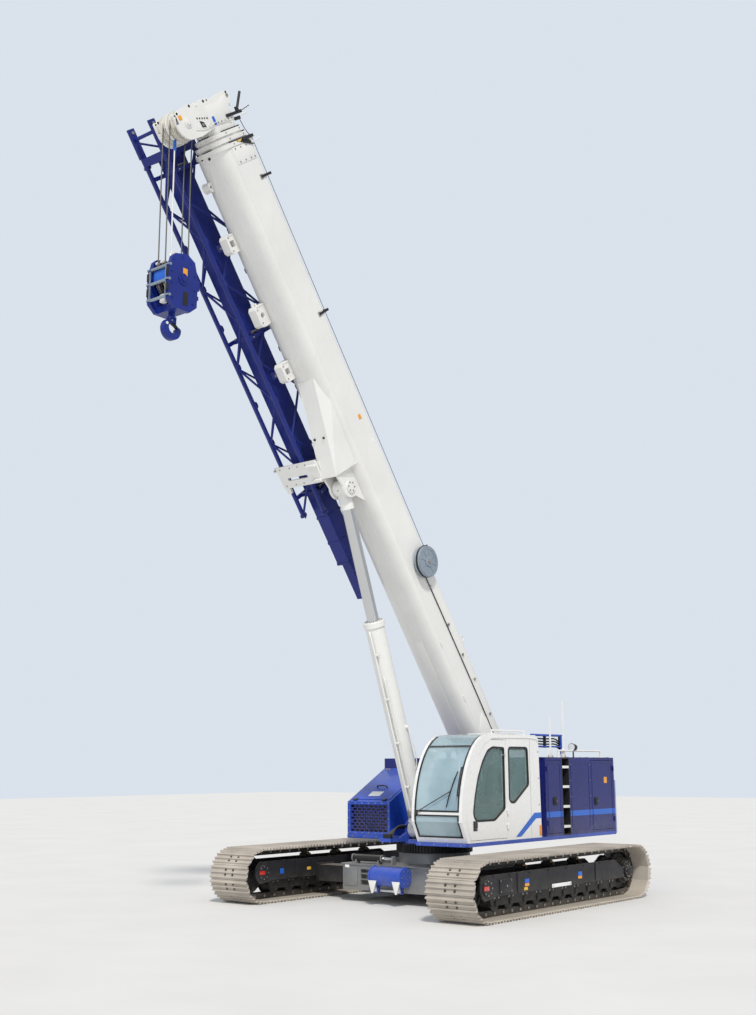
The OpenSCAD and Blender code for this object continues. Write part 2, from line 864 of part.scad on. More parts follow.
module console() {
    color(dark) {
        box([cab_mid - 390, -350, cab_floor], [cab_mid - 270, 150, cab_floor + 560]);
        box([cab_mid + 262, -350, cab_floor], [cab_mid + 380, 150, cab_floor + 560]);
    }
}

// Columns: distance behind the swing axis, height of the top
GRAB_POSTS = [[1290, 2843], [1700, 3099]];

module handrails() {
    color(white) {
        bar([upper_x - 100, 1500, hood_z1], [upper_x - 100, 1500, hood_z1 + 110], 15);
        bar([upper_x - 100, 2900, hood_z1], [upper_x - 100, 2900, hood_z1 + 110], 15);
        bar([upper_x - 100, 1485, hood_z1 + 110], [upper_x - 100, 2915, hood_z1 + 110], 15);
        bar([upper_x - 120, -400, cab_z1], [upper_x - 120, -400, cab_z1 + 60], 15);
        bar([upper_x - 120, 500, cab_z1], [upper_x - 120, 500, cab_z1 + 60], 15);
        bar([upper_x - 120, -415, cab_z1 + 60], [upper_x - 120, 515, cab_z1 + 60], 15);
        // Posts beside the ladder, each on a pierced foot
        for (p = GRAB_POSTS) {
            box([upper_x - 120, p[0] - 20, hood_z1], [upper_x - 110, p[0] + 20, p[1]]);
            difference() {
                across(upper_x - 130, upper_x - 119)
                    polygon([[p[0] - 90, hood_z1], [p[0] + 90, hood_z1], [p[0] + 25, hood_z1 + 150], [p[0] - 25, hood_z1 + 150]]);
                translate([0, p[0], hood_z1 + 45])
                    bar_x(upper_x - 131, upper_x - 118, 18);
            }
        }
    }
}

// Rail on the inner edge of the left hood, which keeps hoses off it
module guard_frame() {
    x = side_x + 90;
    z = hood_z1 + 380;
    color(blue) {
        for (y = [1850, 2800])
            bar([x, y, hood_z1], [x, y, z], 20);
        bar([x, 1830, z], [x, 2820, z], 20);
        bar([x, 1850, hood_z1 + 190], [x, 2800, hood_z1 + 190], 14);
    }
}

// Boom: four nested hollow sections

// Points of an oval arc round c, a wide and b high
function oval(c, a, b, a0, a1, n) = [for (i = [0:n]) let (v = a0 + (a1 - a0) * i / n) c + [a * cos(v), b * sin(v)]];

// Cross-section of a boom section: tight corners on top, wide oval ones below
function boom_profile(w, h) = let (r = 60, a = w * 0.38, b = h * 0.2) concat(
    arc([w / 2 - r, h / 2 - r], r, 0, 90, 5), arc([-w / 2 + r, h / 2 - r], r, 90, 180, 5),
    oval([-w / 2 + a, -h / 2 + b], a, b, 180, 270, 8), oval([w / 2 - a, -h / 2 + b], a, b, 270, 360, 8));

// Underside of the base section, measured from the boom's pin line
boom_z0 = -boom_drop - boom_h / 2;

stroke = mouth_t - overlap - 400;
function section_w(i) = boom_w - i * 2 * (boom_t + boom_gap);
function section_h(i) = boom_h - i * 2 * (boom_t + boom_gap);
function section_t0(i) = i == 0 ? -250 : 150 + i * 150;
function section_t1(i) = mouth_t + i * mouth_step;
pad_t = boom_gap - seat_gap;
// Depth to which a pad is let into its wall
pad_bite = 2;

// Thick rim round a section's mouth
module boom_collar(i) {
    boom_run(section_t1(i) - 60, section_t1(i))
        difference() {
            polygon(boom_profile(section_w(i) + 30, section_h(i) + 30));
            polygon(boom_profile(section_w(i) - 2, section_h(i) - 2));
        }
}

module boom_section(i, collar) {
    w = section_w(i);
    h = section_h(i);
    boom_run(section_t0(i), section_t1(i))
        difference() {
            polygon(boom_profile(w, h));
            polygon(boom_profile(w - 2 * boom_t, h - 2 * boom_t));
        }
    if (collar)
        boom_collar(i);
    // Wear pads inside the mouth
    if (i < 3) {
        for (z = [-h / 2 + boom_t - pad_bite, h / 2 - boom_t - pad_t])
            box([-w * 0.12, -section_t1(i), z], [w * 0.12, -section_t1(i) + 150, z + pad_t + pad_bite]);
        for (x = [-w / 2 + boom_t - pad_bite, w / 2 - boom_t - pad_t])
            box([x, -section_t1(i), 40], [x + pad_t + pad_bite, -section_t1(i) + 150, 140]);
    }
    // Wear pads outside the tail
    if (i > 0) {
        for (z = [-h / 2 - pad_t, h / 2 - pad_bite])
            box([-w * 0.12, -section_t0(i) - 150, z], [w * 0.12, -section_t0(i), z + pad_t + pad_bite]);
        for (x = [-w / 2 - pad_t, w / 2 - pad_bite])
            box([x, -section_t0(i) - 150, -20], [x + pad_t + pad_bite, -section_t0(i), 80]);
    }
}

// The sections' middle line lies a little below the boom's pin
module on_sections() {
    on_boom()
        translate([0, 0, -boom_drop])
            children();
}

cheek_x = 112;
cheek_t = 35;

// Hollow wedge that carries the cylinder's head, drawn in by d: its two ends, then its sides
wedge_t0 = eye_t + 280;
wedge_t1 = 7200;
wedge_wall = 15;

module wedge(d) {
    hull() {
        boom_run(wedge_t0 + d, wedge_t0 + d + 1)
            polygon([[275 - d, -140], [147 - d, -760 + d], [-147 + d, -760 + d], [-275 + d, -140]]);
        boom_run(wedge_t1 - 4 * d, wedge_t1 - 4 * d + 1)
            polygon([[300 - d, -140], [150 - d, boom_z0 - 6 + d], [-150 + d, boom_z0 - 6 + d], [-300 + d, -140]]);
    }
}

// Arm that carries the jib from below: a slotted plate with tabs at its end
module jib_arm() {
    z = -jib_u - jib_h / 2 - chord_d / 2 - seat_gap;
    difference() {
        box([-930, -6080, z - 40], [-130, -5720, z]);
        hull()
            for (x = [-760, -400])
                translate([x, -5860, z - 41])
                    cylinder(h = 42, r = 25);
    }
    box([-975, -6080, z - 40], [-929, -6010, z]);
    box([-905, -5721, z - 40], [-820, -5630, z]);
    for (t = [5760, 6000])
        box([-300, -t - 30, z - 110], [-120, -t, z - 39]);
    box([-300, -6030, z - 1], [-100, -5760, -640]);
}

module boom_base() {
    color(white)
        on_boom() {
            difference() {
                union() {
                    translate([0, 0, -boom_drop]) {
                        boom_section(0, false);
                        boom_run(section_t0(0), section_t0(0) + 20)
                            polygon(boom_profile(boom_w, boom_h));
                    }
                    // Sleeve on the boom pin
                    bar_x(-support_x + run_gap, support_x - run_gap, boom_pin_r + 45);
                }
                bar_x(-support_x, support_x, boom_pin_r + 0.05);
            }
            translate([0, 0, -boom_drop])
                boom_collar(0);
            difference() {
                union() {
                    difference() {
                        wedge(0);
                        wedge(wedge_wall);
                    }
                    jib_arm();
                }
                translate([0, 0, -boom_drop])
                    boom_run(5000, 7400)
                        polygon(boom_profile(boom_w - 2, boom_h - 2));
            }
            // Cheeks of the cylinder's head with their pin and its caps
            for (x = [-cheek_x - cheek_t, cheek_x])
                difference() {
                    boom_plate(x, x + cheek_t)
                        polygon(concat([[wedge_t0 + 15, boom_z0 + 5], [wedge_t0 + 15, -740]],
                            arc([eye_t, -eye_u], 165, -60, -190, 10), [[5150, boom_z0 + 5]]));
                    translate([0, -eye_t, -eye_u])
                        bar_x(x - 1, x + cheek_t + 1, eye_pin_r);
                }
            translate([0, -eye_t, -eye_u]) {
                bar_x(-cheek_x - cheek_t - 12, cheek_x + cheek_t + 12, eye_pin_r - 0.05);
                for (x = [-cheek_x - cheek_t - 25, cheek_x + cheek_t])
                    bar_x(x, x + 25, 95);
            }
        }
}

// Columns: distance along the boom, half length, height of the lower edge, half size of its hole, round hole
BRACKETS = [[7440, 150, -580, 45, false], [8350, 160, -600, 42, true], [9460, 140, -560, 45, false],
    [10300, 75, -440, 25, true]];

module boom_brackets() {
    color(white)
        on_boom()
            for (b = BRACKETS)
                difference() {
                    boom_plate(-290, -150)
                        polygon([[b[0] - b[1], b[2] + 40], [b[0] - b[1] + 40, b[2]], [b[0] + b[1] - 40, b[2]],
                            [b[0] + b[1], b[2] + 40], [b[0] + b[1], boom_z0 + 130], [b[0] - b[1], boom_z0 + 130]]);
                    translate([0, 0, -boom_drop])
                        boom_run(b[0] - 400, b[0] + 400)
                            polygon(boom_profile(boom_w + 2 * seat_gap, boom_h + 2 * seat_gap));
                    translate([0, -b[0], (boom_z0 + b[2]) / 2]) {
                        if (b[4])
                            bar_x(-300, -140, b[3]);
                        if (!b[4])
                            box([-300, -b[3], -b[3]], [-140, b[3], b[3]]);
                    }
                }
}

module boom_second() {
    color(white)
        on_sections()
            boom_section(1, true);
}

module boom_third() {
    color(white)
        on_sections()
            boom_section(2, true);
}

module boom_fly() {
    color(white)
        on_sections()
            boom_section(3, false);
}

// Boom head: two cheek plates on the fly section with the sheave nest between them

head_t0 = section_t1(3);
plate_t = 30;
axle_r = 40;
nest_r = 228;

module boom_head() {
    color(white)
        on_boom() {
            for (x = [-head_x, head_x - plate_t])
                difference() {
                    boom_plate(x, x + plate_t)
                        polygon(concat([[head_t0, 260], [head_t0, -240], [nest_t - nest_r, -520]],
                            arc([nest_t, -nest_u], nest_r, 190, 330, 12),
                            [[11440, -560], [11400, -420], [11440, -300], [11440, -180], [11400, -80], [11440, 60],
                            [11460, 240], [11440, 360], [11340, 360], [11250, 260]]));
                    translate([0, -nest_t, -nest_u])
                        bar_x(x - 1, x + plate_t + 1, axle_r);
                    translate([0, -11380, 300])
                        bar_x(x - 1, x + plate_t + 1, 25);
                }
            // Plate between the two sheaves
            difference() {
                boom_plate(-12, 12)
                    polygon(concat([[nest_t + 150, -200], [nest_t - 150, -200]], arc([nest_t, -nest_u], nest_r, 170, 370, 16)));
                translate([0, -nest_t, -nest_u])
                    bar_x(-13, 13, axle_r);
            }
            box([-head_x + plate_t - 1, -11420, 150], [head_x - plate_t + 1, -head_t0, 250]);
            box([-head_x + plate_t - 1, -11400, -260], [head_x - plate_t + 1, -head_t0, -160]);
            box([-head_x, -head_t0 - 20, -250], [head_x, -head_t0, 260]);
            translate([0, -nest_t, -nest_u])
                bar_x(-head_x - 20, head_x + 20, axle_r - 0.05);
        }
}

module head_sheaves() {
    color(steel)
        on_boom()
            for (x = [-sheave_gap / 2, sheave_gap / 2])
                translate([x, -nest_t, -nest_u])
                    sheave();
}

groove_r = rope_d / 2 + 1;
sheave_t = 22;

// Wheel along X with a thin web and a round groove for the rope
module sheave() {
    rotate([0, 90, 0])
        rotate_extrude()
            polygon(concat([[axle_r, -28], [80, -28], [80, -10], [sheave_r - 30, -10], [sheave_r - 20, -sheave_t],
                [sheave_r + 14, -sheave_t], [sheave_r + 14, -groove_r - 4]],
                arc([sheave_r, 0], groove_r, 270, 90, 8),
                [[sheave_r + 14, groove_r + 4], [sheave_r + 14, sheave_t], [sheave_r - 20, sheave_t], [sheave_r - 30, 10],
                [80, 10], [80, 28], [axle_r, 28]]));
}

module cable_reel() {
    color(steel)
        on_boom()
            translate([0, -3760, 130]) {
                bar_x(boom_w / 2 + seat_gap, boom_w / 2 + 30, 90);
                bar_x(boom_w / 2 + 30, boom_w / 2 + 130, 250);
            }
}

// Jib stowed on the boom's right side

inner_w = 240;
inner_h = 320;
inner_t0 = jib_t0 - 1000;
inner_wall = 10;

module jib_lattice() {
    x0 = -jib_x - jib_w / 2;
    x1 = -jib_x + jib_w / 2;
    z0 = -jib_u - jib_h / 2;
    z1 = -jib_u + jib_h / 2;
    bay = (jib_t1 - jib_t0) / jib_bays;
    color(navy)
        on_boom() {
            for (x = [x0, x1], z = [z0, z1])
                bar([x, -jib_t0, z], [x, -jib_t1, z], chord_d / 2, 8);
            for (i = [0:jib_bays - 1]) {
                a = -jib_t0 - (i + (i % 2)) * bay;
                b = -jib_t0 - (i + 1 - (i % 2)) * bay;
                for (x = [x0, x1])
                    bar([x, a, z0], [x, b, z1], chord_d / 4, 6);
                for (z = [z0, z1])
                    bar([x0, a, z], [x1, b, z], chord_d / 4, 6);
            }
            // Guide frames that hold the inner section
            for (t = [5500, 8100, 10700]) {
                for (x = [x0, x1])
                    box([x - 15, -t - 30, z0], [x + 15, -t + 30, z1]);
                for (z = [-jib_u - inner_h / 2 - seat_gap - 30, -jib_u + inner_h / 2 + seat_gap])
                    box([x0, -t - 30, z], [x1, -t + 30, z + 30]);
            }
            // End frame and fork arms
            for (x = [x0, x1])
                box([x - 20, -jib_t1 - 120, z0 - 35], [x + 20, -jib_t1, z1 + 35]);
            for (z = [z0, z1])
                box([x0 - 20, -jib_t1 - 120, z - 35], [x1 + 20, -jib_t1, z + 35]);
            for (x = [x0, x1])
                difference() {
                    box([x - 20, -jib_t1 - 560, z0 - 60], [x + 20, -jib_t1 - 120, z0 + 60]);
                    translate([0, -jib_t1 - 500, z0])
                        bar_x(x - 21, x + 21, 25);
                }
        }
}

module jib_inner() {
    color(navy)
        on_boom()
            translate([-jib_x, 0, -jib_u]) {
                difference() {
                    box([-inner_w / 2, -jib_t1 - 100, -inner_h / 2], [inner_w / 2, -inner_t0, inner_h / 2]);
                    box([-inner_w / 2 + inner_wall, -jib_t1 - 101, -inner_h / 2 + inner_wall],
                        [inner_w / 2 - inner_wall, -inner_t0 - inner_wall, inner_h / 2 - inner_wall]);
                }
                box([-80, -inner_t0 - 1, -110], [80, -inner_t0 + 660, 110]);
            }
}

// Luffing cylinder: the barrel stands on its foot, the rod hangs on the boom

eye = boom_point(eye_t, -eye_u);
foot = [0, -foot_y, foot_z];
cylinder_len = norm(eye - foot);
cylinder_lean = atan2(foot.y - eye.y, eye.z - foot.z);

// Places a piece drawn up along +Z from the foot
module on_cylinder() {
    translate(foot)
        rotate([cylinder_lean, 0, 0])
            children();
}

piston_h = 120;
rod_inside = 1300;

module cylinder_barrel() {
    color(white)
        on_cylinder() {
            difference() {
                union() {
                    translate([0, 0, 100])
                        cylinder(h = barrel_len - 100, r = barrel_r);
                    bar_x(-notch_x + run_gap, notch_x - run_gap, 130);
                }
                translate([0, 0, 160])
                    cylinder(h = barrel_len - 160 - 120, r = barrel_r - barrel_t);
                cylinder(h = barrel_len + 1, r = rod_r + 0.05);
                bar_x(-notch_x, notch_x, eye_pin_r + 0.05);
            }
        }
}

module cylinder_rod() {
    color(steel)
        on_cylinder() {
            difference() {
                union() {
                    translate([0, 0, barrel_len - rod_inside])
                        cylinder(h = cylinder_len - barrel_len + rod_inside, r = rod_r);
                    translate([0, 0, cylinder_len])
                        bar_x(-cheek_x + run_gap, cheek_x - run_gap, 130);
                }
                translate([0, 0, cylinder_len])
                    bar_x(-cheek_x, cheek_x, eye_pin_r);
            }
            translate([0, 0, barrel_len - rod_inside])
                cylinder(h = piston_h, r = barrel_r - barrel_t - 0.05);
        }
}

// Hook block, hanging plumb below the head sheaves

nest = boom_point(nest_t, -nest_u);
block_z = nest.z - fall_len;
block_x = 215;

module at_block() {
    translate([0, nest.y, block_z])
        children();
}

module block_cheeks() {
    color(blue)
        at_block() {
            for (x = [-block_x, block_x - 60])
                difference() {
                    across(x, x + 60)
                        polygon([[-150, 330], [60, 380], [200, 300], [260, 60], [250, -330], [130, -430], [-130, -430],
                            [-250, -330], [-260, 60], [-200, 280]]);
                    bar_x(x - 1, x + 61, axle_r);
                }
            bar_x(-block_x - 15, block_x + 15, axle_r - 0.05);
            for (p = [[-235, 150], [-245, -60], [-235, -280], [235, 150], [245, -60], [235, -280]])
                translate([0, p[0], p[1]])
                    bar_x(-block_x + 60, block_x - 60, 20);
            difference() {
                box([-block_x + 60, -110, -430], [block_x - 60, 110, -330]);
                cylinder(h = 1000, r = 45, center = true);
            }
        }
}

module block_sheaves() {
    color(dark)
        at_block()
            for (x = [-sheave_gap / 2, sheave_gap / 2])
                translate([x, 0, 0])
                    sheave();
}

bowl_z = -640;
bowl_r = 75;

// Outline of the hook: a thick bowl that thins towards its raised tip
module hook_outline() {
    difference() {
        union() {
            circle(bowl_r + 62);
            translate([-8, -16])
                circle(bowl_r + 72);
            translate([-50, 0])
                square([100, -bowl_z - 480]);
        }
        circle(bowl_r);
        polygon([[0, 0], [bowl_r + 20, -12], [2 * bowl_r + 60, 20], [2 * bowl_r + 60, 200], [51, 200], [51, 60]]);
    }
    translate([bowl_r + 30, -8])
        circle(30);
}

module hook() {
    color(blue)
        at_block() {
            translate([0, 0, -520])
                cylinder(h = 260, r = 45 - 0.05);
            translate([0, 0, -330 + 1])
                cylinder(h = 60, r = 80);
            translate([0, 0, bowl_z])
                across(-42, 42)
                    hook_outline();
        }
}

module hoist_ropes() {
    color(dark)
        for (x = [-sheave_gap / 2, sheave_gap / 2], y = [-sheave_r, sheave_r])
            translate([x, nest.y + y, block_z])
                cylinder(h = fall_len, r = rope_d / 2, $fn = 16);
}

carbody();
track_beams();
slew_ring();
tow_drum();
track_frames();
track_left();
track_right();
sprockets();
idlers();
rollers();
deck();
boom_supports();
boom_pin();
counterweight();
left_hood();
hood_door_front();
hood_door_rear();
ladder();
right_hood();
engine();
engine_door();
cooler_box();
grille();
radiator();
winch_main();
winch_second();
cab_shell();
cab_glass();
cab_door();
door_glass();
seat();
console();
handrails();
guard_frame();
boom_base();
boom_brackets();
boom_second();
boom_third();
boom_fly();
boom_head();
head_sheaves();
cable_reel();
jib_lattice();
jib_inner();
cylinder_barrel();
cylinder_rod();
block_cheeks();
block_sheaves();
hook();
hoist_ropes();
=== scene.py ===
import itertools
import math

import bmesh
import bpy
from mathutils import Matrix, Vector


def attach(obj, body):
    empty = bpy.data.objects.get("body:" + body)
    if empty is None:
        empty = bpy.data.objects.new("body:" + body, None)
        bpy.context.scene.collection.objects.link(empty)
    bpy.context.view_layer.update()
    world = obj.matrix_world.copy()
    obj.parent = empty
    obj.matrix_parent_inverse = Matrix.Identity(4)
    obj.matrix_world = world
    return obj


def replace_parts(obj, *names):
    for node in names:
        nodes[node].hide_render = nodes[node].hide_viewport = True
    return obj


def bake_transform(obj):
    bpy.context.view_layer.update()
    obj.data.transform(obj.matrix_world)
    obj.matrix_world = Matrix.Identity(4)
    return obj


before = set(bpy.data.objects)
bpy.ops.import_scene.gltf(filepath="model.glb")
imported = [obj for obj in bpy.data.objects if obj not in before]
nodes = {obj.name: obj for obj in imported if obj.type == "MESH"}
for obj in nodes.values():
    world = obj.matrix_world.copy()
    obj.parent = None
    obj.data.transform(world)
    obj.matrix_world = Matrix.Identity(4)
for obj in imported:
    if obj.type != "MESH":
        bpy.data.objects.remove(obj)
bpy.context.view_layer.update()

scene = bpy.context.scene

# ---------------------------------------------------------------- camera, fitted to the photo

CAM = Vector((11.8367, -16.0578, 2.0409))
YAW, PITCH_UP, ROLL = -0.67883, 0.20875, -0.00368
FOCAL_PX, PHOTO_PX, SENSOR = 1221.094, 1015, 36
look = Vector((math.sin(YAW) * math.cos(PITCH_UP), math.cos(YAW) * math.cos(PITCH_UP), math.sin(PITCH_UP)))
cam_data = bpy.data.cameras.new("camera")
cam_data.sensor_width = SENSOR
cam_data.sensor_fit = "AUTO"
cam_data.lens = SENSOR * FOCAL_PX / PHOTO_PX
cam_data.clip_end = 200
cam = bpy.data.objects.new("camera", cam_data)
scene.collection.objects.link(cam)
cam.matrix_world = (Matrix.Translation(CAM) @ look.to_track_quat("-Z", "Y").to_matrix().to_4x4()
                    @ Matrix.Rotation(ROLL, 4, "Z"))
scene.camera = cam

# ---------------------------------------------------------------- materials


def new_material(name):
    m = bpy.data.materials.new(name)
    m.use_nodes = True
    return m, m.node_tree, m.node_tree.nodes["Principled BSDF"]


def shade(c, k):
    return (*(min(1, v * k) for v in c), 1)


def coords(nt, scale=(1, 1, 1)):
    tc = nt.nodes.new("ShaderNodeTexCoord")
    mp = nt.nodes.new("ShaderNodeMapping")
    mp.inputs["Scale"].default_value = scale
    nt.links.new(tc.outputs["Object"], mp.inputs["Vector"])
    return mp.outputs["Vector"]


def noise(nt, vec, scale, detail=4, rough=0.55):
    n = nt.nodes.new("ShaderNodeTexNoise")
    n.inputs["Scale"].default_value = scale
    n.inputs["Detail"].default_value = detail
    n.inputs["Roughness"].default_value = rough
    nt.links.new(vec, n.inputs["Vector"])
    return n.outputs["Fac"]


def wave(nt, vec, direction, scale, distortion=0.0):
    w = nt.nodes.new("ShaderNodeTexWave")
    w.bands_direction = direction
    w.inputs["Scale"].default_value = scale
    w.inputs["Distortion"].default_value = distortion
    nt.links.new(vec, w.inputs["Vector"])
    return w.outputs["Fac"]


def remap(nt, value, a, b, lo=0.0, hi=1.0):
    m = nt.nodes.new("ShaderNodeMapRange")
    for key, v in (("From Min", a), ("From Max", b), ("To Min", lo), ("To Max", hi)):
        m.inputs[key].default_value = v
    nt.links.new(value, m.inputs["Value"])
    return m.outputs["Result"]


def times(nt, a, b):
    m = nt.nodes.new("ShaderNodeMath")
    m.operation = "MULTIPLY"
    m.use_clamp = True
    for socket, v in zip(m.inputs, (a, b)):
        if isinstance(v, (int, float)):
            socket.default_value = v
        else:
            nt.links.new(v, socket)
    return m.outputs[0]


def mix(nt, fac, a, b):
    m = nt.nodes.new("ShaderNodeMix")
    m.data_type = "RGBA"
    nt.links.new(fac, m.inputs["Factor"])
    for socket, v in zip([s for s in m.inputs if s.type == "RGBA"], (a, b)):
        if isinstance(v, tuple):
            socket.default_value = v
        else:
            nt.links.new(v, socket)
    return [s for s in m.outputs if s.type == "RGBA"][0]


def bump(nt, bsdf, height, strength, distance):
    b = nt.nodes.new("ShaderNodeBump")
    b.inputs["Strength"].default_value = strength
    b.inputs["Distance"].default_value = distance
    nt.links.new(height, b.inputs["Height"])
    nt.links.new(b.outputs["Normal"], bsdf.inputs["Normal"])


def along(nt, source, output, axis):
    """One coordinate of a geometry or texture vector."""
    s = nt.nodes.new("ShaderNodeSeparateXYZ")
    nt.links.new(nt.nodes.new(source).outputs[output], s.inputs[0])
    return s.outputs[axis]


SAND, GRIME, RUST = (0.52, 0.46, 0.375, 1), (0.33, 0.30, 0.25, 1), (0.26, 0.21, 0.17, 1)


def finish_paint(name, color, rough=0.35, metal=0.0, coat=0.0, vary=0.06, peel=0.03, dust=0.0, low=None, chips=0.0,
                 streak=0.0, spec=0.5):
    """Painted or bare metal: colour drift, orange peel, dust on top faces and towards the ground, chipped spots."""
    m, nt, bsdf = new_material(name)
    vec = coords(nt)
    col = mix(nt, remap(nt, noise(nt, vec, 1.7, 5), 0.3, 0.7), shade(color, 1 - vary), shade(color, 1 + vary))
    if streak:
        lines = noise(nt, coords(nt, (9, 9, 0.5)), 1.0, 6, 0.7)
        col = mix(nt, times(nt, remap(nt, lines, 0.56, 0.8), streak), col, GRIME)
    if chips:
        spots = remap(nt, noise(nt, vec, 11, 9, 0.8), 0.70 - chips, 0.72 - chips)
        col = mix(nt, times(nt, spots, 0.75), col, RUST)
    if dust:
        # Only on faces that look up
        up = remap(nt, along(nt, "ShaderNodeNewGeometry", "Normal", "Z"), 0.45, 0.95)
        cover = times(nt, up, remap(nt, noise(nt, vec, 34, 8, 0.65), 0.25, 0.7, 0.35, 1))
        col = mix(nt, times(nt, cover, dust), col, SAND)
    if low:
        # Full at z0 and below, none at z1
        z0, z1, amount = low
        near = remap(nt, along(nt, "ShaderNodeTexCoord", "Object", "Z"), z0, z1, 1, 0)
        cover = times(nt, near, remap(nt, noise(nt, vec, 5, 8, 0.7), 0.32, 0.68))
        col = mix(nt, times(nt, cover, amount), col, SAND)
    nt.links.new(col, bsdf.inputs["Base Color"])
    r = remap(nt, noise(nt, vec, 7, 6, 0.6), 0.3, 0.7, max(0.02, rough - 0.08), rough + 0.10)
    nt.links.new(r, bsdf.inputs["Roughness"])
    bsdf.inputs["Metallic"].default_value = metal
    bsdf.inputs["Specular IOR Level"].default_value = spec
    if coat:
        bsdf.inputs["Coat Weight"].default_value = coat
        bsdf.inputs["Coat Roughness"].default_value = 0.08
    bump(nt, bsdf, noise(nt, vec, 160, 3), peel, 0.002)
    return m


def rope_material():
    """Laid wire rope: slanting strands in the bump and the colour."""
    m, nt, bsdf = new_material("wire_rope")
    strands = wave(nt, coords(nt), "DIAGONAL", 26, 0.6)
    nt.links.new(mix(nt, strands, (0.05, 0.048, 0.045, 1), (0.22, 0.21, 0.19, 1)), bsdf.inputs["Base Color"])
    bsdf.inputs["Metallic"].default_value = 0.7
    bsdf.inputs["Roughness"].default_value = 0.42
    bump(nt, bsdf, strands, 0.6, 0.003)
    return m


def glass_material(name, tint, front=None):
    """Tinted safety glass with faint dust, seen through; the windscreen is paler because the colour front paints a
    reflection of the pale sky on it.
    """
    alpha = 0.36
    m, nt, bsdf = new_material(name)
    vec = coords(nt)
    dusty = remap(nt, noise(nt, vec, 3.5, 7, 0.7), 0.45, 0.85)
    color = mix(nt, dusty, shade(tint, 1), shade(tint, 1.35))
    see = remap(nt, dusty, 0, 1, alpha, alpha + 0.10)
    if front:
        # Painted sky reflection: the front panes are mixed towards the pale colour front and made a little less clear
        ahead = remap(nt, along(nt, "ShaderNodeTexCoord", "Object", "Y"), -0.70, -0.50, 1, 0)
        painted_reflection = times(nt, ahead, remap(nt, noise(nt, vec, 1.6, 3, 0.5), 0.42, 0.62, 0.75, 1.0))
        color = mix(nt, painted_reflection, color, shade(front, 1))
        see = remap(nt, painted_reflection, 0, 1, alpha, 0.40)
    nt.links.new(color, bsdf.inputs["Base Color"])
    nt.links.new(remap(nt, noise(nt, vec, 6, 5), 0.3, 0.7, 0.02, 0.07), bsdf.inputs["Roughness"])
    nt.links.new(see, bsdf.inputs["Alpha"])
    bsdf.inputs["IOR"].default_value = 1.5
    bsdf.inputs["Specular IOR Level"].default_value = 0.7
    bsdf.inputs["Coat Weight"].default_value = 0.5
    m.blend_method = "BLEND"
    return m


def cloth_material():
    """Woven seat cloth: two crossed fine waves."""
    m, nt, bsdf = new_material("seat_weave")
    vec = coords(nt)
    weave = times(nt, *(wave(nt, vec, d, 90, 1.2) for d in "XZ"))
    nt.links.new(mix(nt, weave, (0.020, 0.021, 0.024, 1), (0.070, 0.074, 0.085, 1)), bsdf.inputs["Base Color"])
    bsdf.inputs["Roughness"].default_value = 0.85
    bsdf.inputs["Sheen Weight"].default_value = 0.3
    bump(nt, bsdf, weave, 0.5, 0.002)
    return m


def lens_material(name, color):
    """Ribbed lamp or reflector lens."""
    m, nt, bsdf = new_material(name)
    ribs = wave(nt, coords(nt), "Z", 38)
    nt.links.new(mix(nt, ribs, shade(color, 0.8), shade(color, 1.15)), bsdf.inputs["Base Color"])
    bsdf.inputs["Roughness"].default_value = 0.12
    bsdf.inputs["Coat Weight"].default_value = 1.0
    bump(nt, bsdf, ribs, 0.35, 0.002)
    return m


